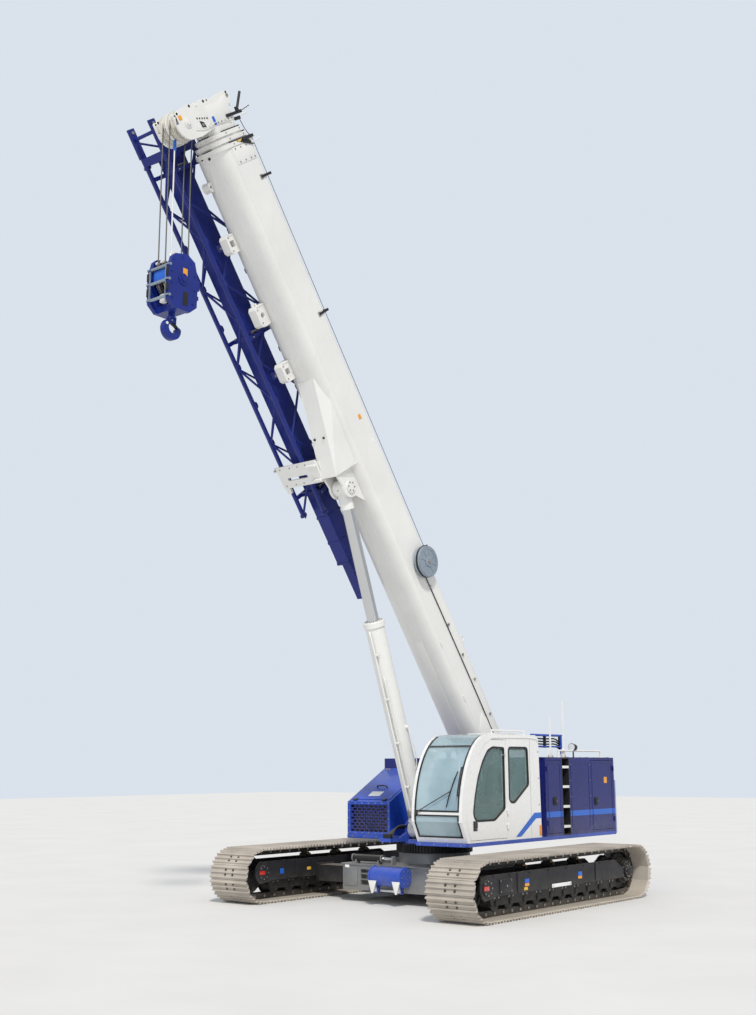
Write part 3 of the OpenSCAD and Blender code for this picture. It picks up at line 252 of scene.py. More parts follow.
M = {
    "white": finish_paint("white_coat", (0.80, 0.795, 0.77), 0.36, coat=0.25, vary=0.035, dust=0.16, streak=0.12),
    "cabwhite": finish_paint("cab_white", (0.82, 0.82, 0.81), 0.26, coat=0.6, vary=0.02, dust=0.12,
                             low=(0.95, 1.4, 0.10)),
    "navy": finish_paint("navy_coat", (0.011, 0.017, 0.150), 0.28, coat=0.22, vary=0.12, dust=0.10,
                         low=(0.95, 1.35, 0.10), spec=0.30),
    "jib": finish_paint("jib_blue", (0.011, 0.022, 0.185), 0.36, coat=0.10, vary=0.16, dust=0.10, chips=0.02,
                        spec=0.28),
    "blue": finish_paint("royal_coat", (0.016, 0.070, 0.45), 0.30, coat=0.25, vary=0.12, dust=0.12,
                         low=(0.9, 1.3, 0.10), spec=0.35),
    "frame": finish_paint("frame_coat", (0.020, 0.020, 0.023), 0.48, vary=0.25, dust=0.55, low=(0.1, 0.50, 0.16),
                          chips=0.02, spec=0.30),
    "dark": finish_paint("dark_coat", (0.020, 0.020, 0.022), 0.45, vary=0.22, dust=0.22, chips=0.02, spec=0.30),
    "grey": finish_paint("machine_coat", (0.20, 0.205, 0.21), 0.42, metal=0.2, vary=0.12, dust=0.45,
                         low=(0.1, 0.55, 0.25), chips=0.03, streak=0.25),
    "steel": finish_paint("worn_steel", (0.40, 0.39, 0.375), 0.34, metal=0.85, vary=0.16, dust=0.35),
    "track": finish_paint("shoe_steel", (0.47, 0.425, 0.375), 0.58, metal=0.05, vary=0.24, dust=0.70,
                          low=(0.0, 0.75, 0.40), peel=0.10),
    "link": finish_paint("link_steel", (0.06, 0.054, 0.048), 0.50, metal=0.5, vary=0.3, dust=0.5,
                         low=(0.0, 0.7, 0.30)),
    "chrome": finish_paint("chromed_bar", (0.62, 0.63, 0.64), 0.09, metal=1.0, vary=0.03, peel=0.01),
    "nylon": finish_paint("sheave_nylon", (0.74, 0.71, 0.62), 0.45, vary=0.06, dust=0.15, streak=0.2),
    "galv": finish_paint("reel_coat", (0.30, 0.36, 0.42), 0.36, metal=0.35, vary=0.12, dust=0.25),
    "rubber": finish_paint("black_rubber", (0.014, 0.014, 0.015), 0.62, vary=0.25, dust=0.22),
    "plastic": finish_paint("dark_plastic", (0.035, 0.036, 0.040), 0.48, vary=0.15, peel=0.12),
    "orange": finish_paint("orange_film", (0.86, 0.36, 0.02), 0.38, coat=0.2, vary=0.10),
    "yellow": finish_paint("yellow_coat", (0.80, 0.50, 0.05), 0.42, vary=0.10, dust=0.2),
    "plate": finish_paint("blank_plate", (0.86, 0.86, 0.85), 0.30, vary=0.03),
    "stripe": finish_paint("stripe_blue", (0.016, 0.13, 0.60), 0.28, coat=0.2, vary=0.08, spec=0.35),
    "hookblue": finish_paint("hook_blue", (0.009, 0.024, 0.215), 0.36, coat=0.15, vary=0.16, dust=0.10, chips=0.02,
                             spec=0.30),
    "rope": rope_material(),
    # front: the pale colour of the sky reflection painted on the windscreen
    "glass": glass_material("cab_glass_tint", (0.20, 0.33, 0.33), front=(0.58, 0.78, 0.87)),
    "doorglass": glass_material("door_glass_tint", (0.17, 0.29, 0.28)),
    "cloth": cloth_material(),
    "lamp": lens_material("lamp_lens", (0.75, 0.78, 0.80)),
    "redlens": lens_material("red_lens", (0.62, 0.02, 0.01)),
    "amberlens": lens_material("amber_lens", (0.85, 0.26, 0.01)),
}

NODE_MATERIALS = {
    "grey": ["carbody"],
    "frame": ["track_beams", "track_frames", "rollers", "idlers", "sprockets"],
    "track": ["track_left", "track_right"],
    "dark": ["slew_ring", "engine", "radiator", "winch_main", "winch_second", "ladder"],
    "blue": ["deck", "boom_supports", "counterweight", "cooler_box", "tow_drum", "guard_frame"],
    "navy": ["left_hood", "right_hood", "hood_door_front", "hood_door_rear", "engine_door", "grille"],
    "jib": ["jib_lattice", "jib_inner"],
    "steel": ["boom_pin", "block_sheaves"],
    "nylon": ["head_sheaves"],
    "chrome": ["cylinder_rod"],
    "cabwhite": ["cab_shell", "cab_door"],
    "white": ["handrails", "boom_base", "boom_brackets", "boom_second", "boom_third", "boom_fly", "boom_head",
              "cylinder_barrel"],
    "glass": ["cab_glass"],
    "doorglass": ["door_glass"],
    "galv": ["cable_reel"],
    "hookblue": ["hook", "block_cheeks"],
    "rope": ["hoist_ropes"],
    "cloth": ["seat"],
    "plastic": ["console"],
}
for key, names in NODE_MATERIALS.items():
    for slot in itertools.chain(*(nodes[n].material_slots for n in names)):
        slot.material = M[key]

# ---------------------------------------------------------------- soft edges on the CAD solids

SOFT_EDGES = {
    "cab_shell": 0.012, "cab_door": 0.006, "left_hood": 0.008, "right_hood": 0.008, "hood_door_front": 0.005,
    "hood_door_rear": 0.005, "engine_door": 0.005, "cooler_box": 0.008, "counterweight": 0.02, "deck": 0.004,
    "boom_supports": 0.004, "boom_brackets": 0.004, "boom_head": 0.004, "carbody": 0.006, "track_beams": 0.006,
    "track_frames": 0.005, "block_cheeks": 0.005, "hook": 0.010, "console": 0.015, "ladder": 0.003,
}
for n, width in SOFT_EDGES.items():
    nodes[n].modifiers.new("weld", "WELD").merge_threshold = 0.00005
    b = nodes[n].modifiers.new("edges", "BEVEL")
    b.width = width
    b.segments = 2
    b.limit_method = "ANGLE"
    b.angle_limit = math.radians(40)
    b.harden_normals = False

# ---------------------------------------------------------------- mesh helpers


def place(axis, p, s):
    """The point at s along axis; p holds its two other coordinates in order."""
    return {"x": (s, *p), "y": (p[0], s, p[1]), "z": (*p, s)}[axis]


def circle(n, start=0.0):
    """Cosine and sine of n even steps of a full turn."""
    return [(math.cos(a), math.sin(a)) for a in (start + 2 * math.pi * k / n for k in range(n))]


def loft(rows, ring=False, caps=True, fresh=True):
    """Mesh through rows of points, each a closed outline. In a ring the last row joins the first."""
    part = bmesh.new()
    rows = [[part.verts.new(p) for p in row] for row in rows]
    for a, b in zip(rows, rows[1:] + (rows[:1] if ring else [])):
        for i in range(len(a)):
            j = (i + 1) % len(a)
            part.faces.new([a[i], a[j], b[j], b[i]])
    if caps and not ring:
        part.faces.new(rows[0][::-1])
        part.faces.new(rows[-1])
    if fresh:  # without this the next call can turn a part inside out
        part.normal_update()
    bmesh.ops.recalc_face_normals(part, faces=part.faces)
    return part


def link(name, bm, materials):
    """Object in the scene made of bm."""
    mesh = bpy.data.meshes.new(name)
    bm.to_mesh(mesh)
    bm.free()
    for m in materials:
        mesh.materials.append(M[m])
    o = bpy.data.objects.new(name, mesh)
    scene.collection.objects.link(o)
    return o


class Piece:
    """Collects solids with their materials and makes one object that rides on a body."""

    def __init__(self, name, body="upper", at=Matrix.Identity(4)):
        self.name, self.body, self.at = name, body, at
        self.materials, self.bm = [], bmesh.new()

    def take(self, part, m, bevel=0.0):
        if bevel:
            edges = [e for e in part.edges if len(e.link_faces) == 2 and e.calc_face_angle(0) > 0.5]
            bmesh.ops.bevel(part, geom=edges, offset=bevel, segments=2, profile=0.6, affect="EDGES",
                            clamp_overlap=True)
        bmesh.ops.transform(part, matrix=self.at, verts=part.verts)
        if m not in self.materials:
            self.materials.append(m)
        verts = {v: self.bm.verts.new(v.co) for v in part.verts}
        for f in part.faces:
            try:
                self.bm.faces.new([verts[v] for v in f.verts]).material_index = self.materials.index(m)
            except ValueError:
                pass  # a bevel can leave the same face twice
        part.free()

    def box(self, p, q, m, bevel=0.003):
        """A block between two opposite corners."""
        part = bmesh.new()
        bmesh.ops.create_cube(part, size=1)
        for v in part.verts:
            v.co = [(a + b) / 2 + c * abs(b - a) for a, b, c in zip(p, q, v.co)]
        self.take(part, m, bevel)

    def cyl(self, p, q, r, m, n=24, r2=None, bevel=0.0):
        p, q = Vector(p), Vector(q)
        part = bmesh.new()
        bmesh.ops.create_cone(part, cap_ends=True, segments=n, radius1=r, radius2=r if r2 is None else r2,
                              depth=(q - p).length)
        turn = (q - p).to_track_quat("Z", "Y").to_matrix().to_4x4()
        bmesh.ops.transform(part, matrix=Matrix.Translation((p + q) / 2) @ turn, verts=part.verts)
        self.take(part, m, bevel)

    def disc(self, p, step, r, m="steel", n=24, r2=None, bevel=0.0):
        """A cylinder that starts at p and ends at p + step."""
        self.cyl(p, Vector(p) + Vector(step), r, m, n, r2, bevel)

    def prism(self, points, axis, a, b, m, bevel=0.003):
        """A polygon in the plane across axis, made solid between a and b."""
        self.take(loft([[place(axis, p, s) for p in points] for s in sorted((a, b))]), m, bevel)

    def rim(self, outer, inner, axis, a, b, m):
        """A flat ring between two outlines of as many points, from a to b along axis."""
        a, b = sorted((a, b))
        rows = [[place(axis, p, s) for p in pts] for pts, s in ((outer, a), (outer, b), (inner, b), (inner, a))]
        self.take(loft(rows, ring=True), m)

    def spin(self, profile, centre, axis, m, n=40):
        """A closed profile of (radius, height) points turned round an axis through centre."""
        turn = Vector(axis).to_track_quat("Z", "Y").to_matrix()
        rows = [[Vector(centre) + turn @ Vector((r * c, r * s, h)) for r, h in profile] for c, s in circle(n)]
        self.take(loft(rows, ring=True), m)

    def tube(self, points, r, m, n=10, smooth=0):
        """A round tube through points, with its corners rounded by Chaikin cuts."""
        pts = [Vector(p) for p in points]
        for _ in range(smooth):
            cuts = [(a.lerp(b, 0.25), a.lerp(b, 0.75)) for a, b in zip(pts, pts[1:])]
            pts = [pts[0], *itertools.chain(*cuts), pts[-1]]
        rows, side = [], None
        for p, before, after in zip(pts, pts[:1] + pts, pts[1:] + pts[-1:]):
            d = (after - before).normalized()
            side = side or d.orthogonal().normalized()
            side = (side - d * side.dot(d)).normalized()
            rows.append([p + r * (c * side + s * d.cross(side)) for c, s in circle(n)])
        self.take(loft(rows), m)

    def bolt(self, p, normal, r, m="steel", h=None, washer=True):
        """A hexagon head on its washer."""
        normal = Vector(normal).normalized()
        if washer:
            self.disc(p, normal * r * 0.2, r * 1.25, m, 14)
        self.disc(p, normal * (h or r * 0.8), r, m, 6)

    def bolts(self, xs, ys, zs, normal, r, m="steel", **head):
        """A bolt at each combination of coordinates; each of them is one number or several."""
        for p in itertools.product(*(v if isinstance(v, tuple) else (v,) for v in (xs, ys, zs))):
            self.bolt(p, normal, r, m, **head)

    def bolt_ring(self, centre, normal, radius, n, r, m="steel", start=0.0, **head):
        """n bolts in a circle round centre, across a normal along X or else Z."""
        for c, s in circle(n, start):
            across = (0, radius * c, radius * s) if normal[0] else (radius * c, radius * s, 0)
            self.bolt(Vector(centre) + Vector(across), normal, r, m, **head)

    def done(self, ride=True):
        bmesh.ops.remove_doubles(self.bm, verts=self.bm.verts, dist=1e-6)
        for f in self.bm.faces:
            f.smooth = True
        for e in self.bm.edges:
            e.smooth = len(e.link_faces) == 2 and e.calc_face_angle(0) <= 0.55
        o = link(self.name, self.bm, self.materials)
        if ride:
            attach(o, self.body)
        return o


SIDES = (-1, 1)
PIN_Y, PIN_Z, BOOM_TILT = 1.476, 2.120, math.radians(53.48)
BOOM = Matrix.Translation((0, PIN_Y, PIN_Z)) @ Matrix.Rotation(-BOOM_TILT, 4, "X")
DECK_Z = 0.955


# ---------------------------------------------------------------- tracks: rigid shoes on a chain of links

TRACK_X, WHEEL_Y, WHEEL_Z = 2.0625, 2.0915, 0.4085
TRACK_R, FLAT, SHOES = 0.3825, 4.183, 50
LOOP = 2 * FLAT + 2 * math.pi * TRACK_R
PITCH = LOOP / SHOES
SHOE_W, SHOE_T, GROUSER_H, LINK_H = 0.8, 0.014, 0.026, 0.09


def loop_point(s):
    """Point of the loop of shoe plates at distance s."""
    s %= LOOP
    half = math.pi * TRACK_R
    if s < FLAT:
        return Vector((0, -WHEEL_Y + s, WHEEL_Z + TRACK_R))
    if s < FLAT + half:
        a, y = math.pi / 2 - (s - FLAT) / TRACK_R, WHEEL_Y
    elif s < 2 * FLAT + half:
        return Vector((0, WHEEL_Y - (s - FLAT - half), WHEEL_Z - TRACK_R))
    else:
        a, y = -math.pi / 2 - (s - 2 * FLAT - half) / TRACK_R, -WHEEL_Y
    return Vector((0, y + TRACK_R * math.cos(a), WHEEL_Z + TRACK_R * math.sin(a)))


def loop_frame(s0, s1, x):
    """Frame of a piece that lies on the loop between s0 and s1: Y along the loop, Z outwards."""
    p, q = loop_point(s0), loop_point(s1)
    ahead = (q - p).normalized()
    out = Vector((1, 0, 0)).cross(ahead)
    turn = Matrix((Vector((1, 0, 0)), ahead, out)).transposed().to_4x4()
    bend = (loop_point((s0 + s1) / 2) - (p + q) / 2).length
    return Matrix.Translation((p + q) / 2 + Vector((x, 0, 0)) + out * bend * 0.5) @ turn


def shoe_profile():
    """Section of a shoe along the loop: a plate with three grousers."""
    half = PITCH / 2 - 0.003
    pts = [(-half, -SHOE_T), (-half, -0.002)]
    for g in (-PITCH / 3, 0, PITCH / 3):
        pts += [(g - 0.015, 0), (g - 0.007, GROUSER_H), (g + 0.007, GROUSER_H), (g + 0.015, 0)]
    return pts + [(half, -0.002), (half, -SHOE_T)]


def build_track(name, node, x):
    piece = Piece(name, "undercarriage")
    half, clip = SHOE_W / 2, 0.035
    z0, z1 = -SHOE_T - LINK_H, -SHOE_T
    shoe = [[(s * (half - clip if abs(y) > 0.09 else half), y, z) for y, z in shoe_profile()] for s in (1, -1)]
    side = [(-0.118, z0 + 0.03), (-0.095, z0 + 0.004), (0.095, z0 + 0.004), (0.118, z0 + 0.03), (0.118, z1 - 0.02),
            (0.09, z1), (-0.09, z1), (-0.118, z1 - 0.02)]
    for i in range(SHOES):
        piece.at = loop_frame(i * PITCH, (i + 1) * PITCH, x)
        piece.take(loft(shoe, fresh=False), "track")  # the shoes' faces point inwards, a fault that was left
        piece.bolts((-0.078, 0.078), (-PITCH / 6, PITCH / 6), 0, (0, 0, 1), 0.017, "link", h=0.012, washer=False)
        for lx in (-0.092, 0.062):
            piece.prism(side, "x", lx, lx + 0.03, "link", 0.004)
        for w, r, m in ((0.1, 0.021, "steel"), (0.06, 0.031, "link")):
            piece.cyl((-w, PITCH / 2, -0.055), (w, PITCH / 2, -0.055), r, m, 14)
    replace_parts(piece.done(), node)


build_track("shoes_left", "track_left", TRACK_X)
build_track("shoes_right", "track_right", -TRACK_X)

# ---------------------------------------------------------------- track frames: fittings

FRAME_X, CORE_X = 0.28, 0.148
FRAME_Y = WHEEL_Y - 0.2785 - 0.03
IDLER_Y, IDLER_Z = -2.0, 0.445
CARRIER_Y = (-0.75, 0.0, 0.75)
# Reflectors and blank stickers on the outer and the inner side: y, z, material, half sizes
SPOTS = {
    1: ((-2.045, 0.447, "redlens", 0.060, 0.028), (-1.025, 0.475, "stripe", 0.055, 0.03),
        (-1.025, 0.425, "orange", 0.055, 0.018), (-1.056, 0.375, "yellow", 0.045, 0.02),
        (0.438, 0.475, "stripe", 0.055, 0.03), (0.438, 0.425, "orange", 0.055, 0.018)),
    -1: ((-2.045, 0.447, "redlens", 0.060, 0.028), (-1.594, 0.447, "stripe", 0.04, 0.04),
         (-0.967, 0.452, "yellow", 0.045, 0.022)),
}


def frame_fittings(s):
    """Bolts, covers and lamps of one track frame; s is the machine's side, and d is measured away from it."""
    p = Piece("frame_fittings_" + ("left" if s > 0 else "right"), "undercarriage")

    def at(d, y, z):
        return (s * (TRACK_X + d), y, z)

    def slab(d, step, y0, y1, z0, z1, m, bevel):
        p.box(at(d, y0, z0), at(d + step, y1, z1), m, bevel)

    def bolts(d, ys, zs, n, r, m="steel"):
        p.bolts(s * (TRACK_X + d), ys, zs, (s * n, 0, 0), r, m)

    for n in (1, -1):
        side, normal = n * FRAME_X, (s * n, 0, 0)
        # Caps and bolts of the bottom rollers
        for i in range(10):
            y = -FRAME_Y + 0.18 + i * 2 * (FRAME_Y - 0.18) / 9
            p.disc(at(n * CORE_X, y, 0.216), (s * n * 0.016, 0, 0), 0.045, "frame", 20, bevel=0.003)
            bolts(n * CORE_X, (y - 0.05, y + 0.05), 0.29, n, 0.012)
        bolts(side, (-1.85, -1.45, -0.95, -0.45, 0.05, 0.55, 1.05), 0.585, n, 0.013, "dark")
        # Idler cover with its ring of bolts
        p.disc(at(side, IDLER_Y, IDLER_Z), (s * n * 0.012, 0, 0), 0.115, "frame", 32, bevel=0.003)
        p.bolt_ring(at(side + n * 0.012, IDLER_Y, IDLER_Z), normal, 0.092, 8, 0.009)
        for y in (-1.25, 0.92):
            slab(side, n * 0.012, y - 0.03, y + 0.03, 0.345, 0.60, "frame", 0.004)
        for y, z, m, hy, hz in SPOTS[n]:
            slab(side, n * (0.018 if m == "redlens" else 0.0025), y - hy, y + hy, z - hz, z + hz, m, 0.001)
        # Caps and side bolts of the carrier rollers
        for y in CARRIER_Y:
            p.disc(at(n * 0.082, y, 0.627), (s * n * 0.022, 0, 0), 0.032, "frame", 18, bevel=0.003)
            bolts(n * 0.082, (y - 0.033, y + 0.033), 0.575, n, 0.008)
    for y in CARRIER_Y:
        for d in (-0.082, 0.062):
            slab(d, 0.02, y - 0.045, y + 0.045, 0.655, 0.664, "yellow", 0.002)
    slab(FRAME_X, 0.010, -0.365, 0.166, 0.335, 0.385, "plate", 0.003)
    bolts(FRAME_X + 0.010, (-0.34, 0.14), 0.36, 1, 0.006)
    # Tensioner cover and its nipple
    slab(FRAME_X, 0.014, -1.72, -1.42, 0.36, 0.54, "frame", 0.005)
    for y, z in ((-1.70, 0.38), (-1.44, 0.38), (-1.70, 0.52), (-1.44, 0.52)):
        bolts(FRAME_X + 0.014, y, z, 1, 0.009)
    p.disc(at(FRAME_X + 0.014, -1.57, 0.45), (s * 0.021, 0, 0), 0.014, "steel", 12)
    # Final drive: stepped cover with two rings of bolts and a drain plug
    for ring_r, d, n, r in ((0.135, 0.180, 14, 0.010), (0.085, 0.215, 9, 0.009)):
        p.bolt_ring(at(d, WHEEL_Y, WHEEL_Z), (s, 0, 0), ring_r, n, r)
    p.disc(at(0.213, WHEEL_Y, WHEEL_Z), (s * 0.019, 0, 0), 0.06, "frame", 28, bevel=0.004)
    p.disc(at(0.213, WHEEL_Y - 0.02, WHEEL_Z - 0.083), (s * 0.013, 0, 0), 0.012, "steel", 6)
    # Travel motor hoses on the inner side, clipped to the frame
    for k, z in enumerate((0.47, 0.43)):
        p.tube([at(-0.33, WHEEL_Y - 0.10, z), at(-0.38, WHEEL_Y - 0.35, z + 0.03), at(-0.31, 1.35, 0.42 - 0.05 * k),
                at(-0.31, 0.85, 0.42 - 0.05 * k), at(-0.42, 0.62, 0.44 - 0.05 * k)], 0.014, "rubber", 8, 2)
    for y in (1.25, 0.95):
        slab(-0.325, 0.045, y - 0.02, y + 0.02, 0.345, 0.445, "dark", 0.003)
    p.done()


def idler_trim(s):
    """Stepped hub and round caps on both sides of an idler."""
    p = Piece("idler_trim_" + ("left" if s > 0 else "right"), "undercarriage")
    for n in SIDES:
        p.spin([(0.03, 0.036), (0.10, 0.036), (0.11, 0.05), (0.11, 0.058), (0.05, 0.066), (0.03, 0.066)],
               (s * TRACK_X, -WHEEL_Y, WHEEL_Z), (n, 0, 0), "frame", 32)
        for c, z in circle(6):
            p.disc((s * TRACK_X + n * 0.036, -WHEEL_Y + 0.17 * c, WHEEL_Z + 0.17 * z), (n * 0.006, 0, 0), 0.03,
                   "frame", 16)
    p.done()


for s in SIDES:
    frame_fittings(s)
for s in SIDES:
    idler_trim(s)

# ---------------------------------------------------------------- carbody, slew ring, tow drum

FRONT_Y, DRUM_Y, DRUM_Z = -1.0, -1.14, 0.42


def carbody_details():
    p = Piece("carbody_details", "undercarriage")
    # Bolted panels beside the step, one with a blank plate
    for x0, x1 in ((-1.0, -0.74), (0.56, 0.98)):
        p.box((x0, FRONT_Y - 0.012, 0.24), (x1, FRONT_Y, 0.52), "grey", 0.006)
        p.bolts((x0 + 0.03, x1 - 0.03), FRONT_Y - 0.012, (0.265, 0.495), (0, -1, 0), 0.010)
    p.box((-0.985, FRONT_Y - 0.0155, 0.505), (-0.90, FRONT_Y - 0.012, 0.545), "plate", 0.001)
    # Step rungs with a grooved tread
    for z in (0.348, 0.433):
        for k in range(9):
            x = -0.665 + k * 0.029
            p.box((x, FRONT_Y - 0.012, z), (x + 0.010, FRONT_Y + 0.03, z + 0.008), "steel", 0.001)
    # Hydraulic cylinder that locks the track frames, on the carbody's top
    for x0, x1, r, m, n, bevel in ((-0.86, -0.30, 0.052, "dark", 28, 0.004), (-0.88, -0.86, 0.060, "steel", 28, 0.004),
                                   (-0.31, -0.29, 0.060, "steel", 28, 0.004), (-0.29, -0.10, 0.026, "chrome", 20, 0)):
        p.cyl((x0, -0.93, 0.655), (x1, -0.93, 0.655), r, m, n, bevel=bevel)
    for x in (-0.80, -0.36, -0.09):
        p.prism([(-0.985, 0.57), (-0.875, 0.57), (-0.895, 0.70), (-0.965, 0.70)], "x", x - 0.012, x + 0.012, "grey")
    # Drum: end flanges with bolts, brackets
    for x, bolt_x, n in ((-0.304, -0.304, -1), (0.279, 0.304, 1)):
        p.disc((x, DRUM_Y, DRUM_Z), (0.025, 0, 0), 0.152, "blue", 44, bevel=0.005)
        p.bolt_ring((bolt_x, DRUM_Y, DRUM_Z), (n, 0, 0), 0.10, 6, 0.011)
    for x in (-0.20, 0.20):
        p.prism([(-1.0, 0.30), (-1.05, 0.30), (-1.13, 0.42), (-1.05, 0.53), (-1.0, 0.53)], "x", x - 0.012, x + 0.012,
                "blue", 0.004)
    # Pointed white plates in front of the lugs below the drum
    for x in (-0.225, 0.225):
        p.prism([(x - 0.075, 0.365), (x + 0.075, 0.365), (x + 0.016, 0.185), (x - 0.016, 0.185)], "y", -1.284, -1.268,
                "white", 0.002)
        p.prism([(-1.275, 0.31), (-1.275, 0.20), (-1.165, 0.20), (-1.165, 0.31)], "x", x - 0.008, x + 0.008, "white",
                0.002)
    p.box((-0.42, -1.035, 0.183), (0.12, -1.005, 0.215), "white", 0.004)
    for x in (-0.38, 0.06):
        p.box((x - 0.02, -1.03, 0.20), (x + 0.02, -1.002, 0.26), "grey")
    # Ring of bolts on the pedestal
    p.bolt_ring((0, 0, 0.735), (0, 0, 1), 0.54, 48, 0.014, washer=False)
    for s in SIDES:
        for y in (-0.6, 0.6):
            # Collars of the beams, locking pins on top
            for x0, x1, m in ((1.74, 1.7815, "dark"), (1.04, 1.08, "grey")):
                p.box((s * x0, y - 0.20, 0.232), (s * x1, y + 0.20, 0.518), m, 0.006)
            p.cyl((s * 1.16, y, 0.50), (s * 1.16, y, 0.56), 0.028, "steel", 18, bevel=0.004)
            p.cyl((s * 1.16, y - 0.05, 0.55), (s * 1.16, y + 0.05, 0.55), 0.009, "steel", 10)
            p.bolts(s * 1.40, (y - 0.12, y + 0.12), 0.50, (0, 0, 1), 0.014)
            # Travel hoses in a loop from the carbody to the frame
            p.tube([(s * 1.04, y + 0.26, 0.40), (s * 1.20, y + 0.27, 0.37), (s * 1.42, y + 0.26, 0.29),
                    (s * 1.62, y + 0.26, 0.34), (s * 1.78, y + 0.26, 0.42)], 0.015, "rubber", 8, 2)
    # Rear panel with its bolts
    p.box((-0.55, 1.0, 0.24), (0.55, 1.012, 0.50), "grey", 0.006)
    p.bolts((-0.5, -0.3, -0.1, 0.1, 0.3, 0.5), 1.012, (0.265, 0.475), (0, 1, 0), 0.011)
    # Weld beads round the top plate
    for s in SIDES:
        p.tube([(s * 1.043, -0.99, 0.549), (s * 1.043, 0.99, 0.549)], 0.006, "grey", 6)
    p.tube([(-1.03, -1.003, 0.549), (1.03, -1.003, 0.549)], 0.006, "grey", 6)
    p.done()


carbody_details()

# ---------------------------------------------------------------- deck: front lip, hoses, foot of the cylinder, lamp

FOOT = Vector((0, -0.350, 1.082))


def deck_details():
    p = Piece("deck_details")
    p.prism([(-1.509, -0.345), (-0.608, -0.345), (-0.608, -0.33), (-1.509, -0.33)], "z", 0.905, DECK_Z, "blue")
    p.bolts((-1.40, -1.15, -0.90, -0.70), -0.345, 0.93, (0, -1, 0), 0.010)
    # Hose bundles on both sides of the cylinder's foot
    for k in range(6):
        x = -0.28 + 0.022 * k
        p.tube([(x, -0.86, 0.972), (x + 0.01, -0.78, 1.05 + 0.015 * k), (x, -0.55, 1.10 + 0.01 * k),
                (-0.30 + 0.02 * k, -0.20, 1.06), (-0.30 + 0.02 * k, 0.12, 1.02)], 0.012, "rubber", 8, 2)
    p.box((-0.33, -0.885, DECK_Z), (-0.18, -0.845, 1.02), "dark", 0.004)
    for k in range(3):
        x = 0.245 + 0.03 * k
        p.tube([(x, -0.88, 0.97), (x, -0.70, 1.06), (x + 0.01, -0.35, 1.03), (x, 0.0, 1.0)], 0.012, "rubber", 8, 2)
    # Round work lamp on its stalk at the deck's front
    p.tube([(0.37, -0.885, DECK_Z), (0.37, -0.892, 1.02), (0.35, -0.885, 1.06)], 0.011, "dark", 8, 1)
    p.cyl((0.35, -0.83, 1.085), (0.35, -0.90, 1.075), 0.034, "dark", 26, r2=0.056, bevel=0.003)
    p.cyl((0.35, -0.899, 1.075), (0.35, -0.905, 1.0742), 0.050, "lamp", 26)
    for s in SIDES:
        # Caps of the cylinder's foot pin
        x, out = s * 0.2125, (s, 0, 0)
        p.disc((x, FOOT.y, FOOT.z), (s * 0.018, 0, 0), 0.078, "blue", 30, bevel=0.004)
        p.bolt_ring((x + s * 0.018, FOOT.y, FOOT.z), out, 0.052, 4, 0.010, start=math.pi / 4)
        # Boom supports: pin plates with bolts, stiffeners
        x = s * 0.365
        p.disc((x, PIN_Y, PIN_Z), (s * 0.001, 0, 0), 0.155, "blue", 44)
        p.bolt_ring((s * 0.387, PIN_Y, PIN_Z), out, 0.066, 8, 0.010, start=0.39, washer=False)
        for y, z in ((0.55, 1.45), (1.20, 1.62), (2.42, 1.62)):
            p.box((x, y, DECK_Z), (x + s * 0.07, y + 0.025, z), "blue")
        p.prism([(-0.28, DECK_Z), (3.05, DECK_Z), (3.05, 0.975), (-0.28, 0.975)], "x", x, x + s * 0.05, "blue", 0.002)
    p.done()


deck_details()

# ---------------------------------------------------------------- winches: one layer of wound rope, bolts

WINCH_Z, TURNS, LAYER = 1.400, 21, 0.55
for name, y in (("main", 2.09), ("second", 2.74)):
    p = Piece("winch_%s_rope" % name, "winch_drum_" + name)
    for k in range(TURNS):
        p.spin([(0.205, -0.009), (0.213, -0.012), (0.2205, -0.008), (0.2225, 0), (0.2205, 0.008), (0.213, 0.012),
                (0.205, 0.009)], ((k + 0.5 - TURNS / 2) * LAYER / TURNS, y, WINCH_Z), (1, 0, 0), "rope", 44)
    for s in SIDES:
        p.bolt_ring((s * 0.284, y, WINCH_Z), (-s, 0, 0), 0.24, 10, 0.010, washer=False)
    p.done()


# ---------------------------------------------------------------- flat outlines and cushions


def outset(points, d):
    """Closed outline moved out by d, in by -d, with mitred corners; its points run either way round."""
    area = sum(a[0] * b[1] - b[0] * a[1] for a, b in zip(points, points[1:] + points[:1]))
    turn = 1 if area > 0 else -1
    out = []
    for i, p in enumerate(points):
        a = Vector(p) - Vector(points[i - 1])
        b = Vector(points[(i + 1) % len(points)]) - Vector(p)
        na, nb = Vector((a.y, -a.x)).normalized() * turn, Vector((b.y, -b.x)).normalized() * turn
        m = (na + nb).normalized()
        out.append(tuple(Vector(p) + m * (d / max(0.35, m.dot(na)))))
    return out


def rounded(points, r, n=4):
    """Closed outline with each corner cut by a curve that starts r before it."""
    out = []
    for i, p in enumerate(points):
        p, a, b = Vector(p), Vector(points[i - 1]), Vector(points[(i + 1) % len(points)])
        ra, rb = min(r, (a - p).length * 0.45), min(r, (b - p).length * 0.45)
        pa, pb = p + (a - p).normalized() * ra, p + (b - p).normalized() * rb
        for k in range(n + 1):
            t = k / n
            out.append(tuple(pa * (1 - t) ** 2 + p * 2 * t * (1 - t) + pb * t * t))
    return out


def rect(x0, x1, y0, y1):
    return [(x0, y0), (x1, y0), (x1, y1), (x0, y1)]


def seal(piece, outline, axis, a, b):
    """Rubber profile round a window of the CAD, rounded inside."""
    piece.rim(rounded(outset(outline, 0.016), 0.04), rounded(outset(outline, -0.012), 0.05), axis, a, b, "rubber")


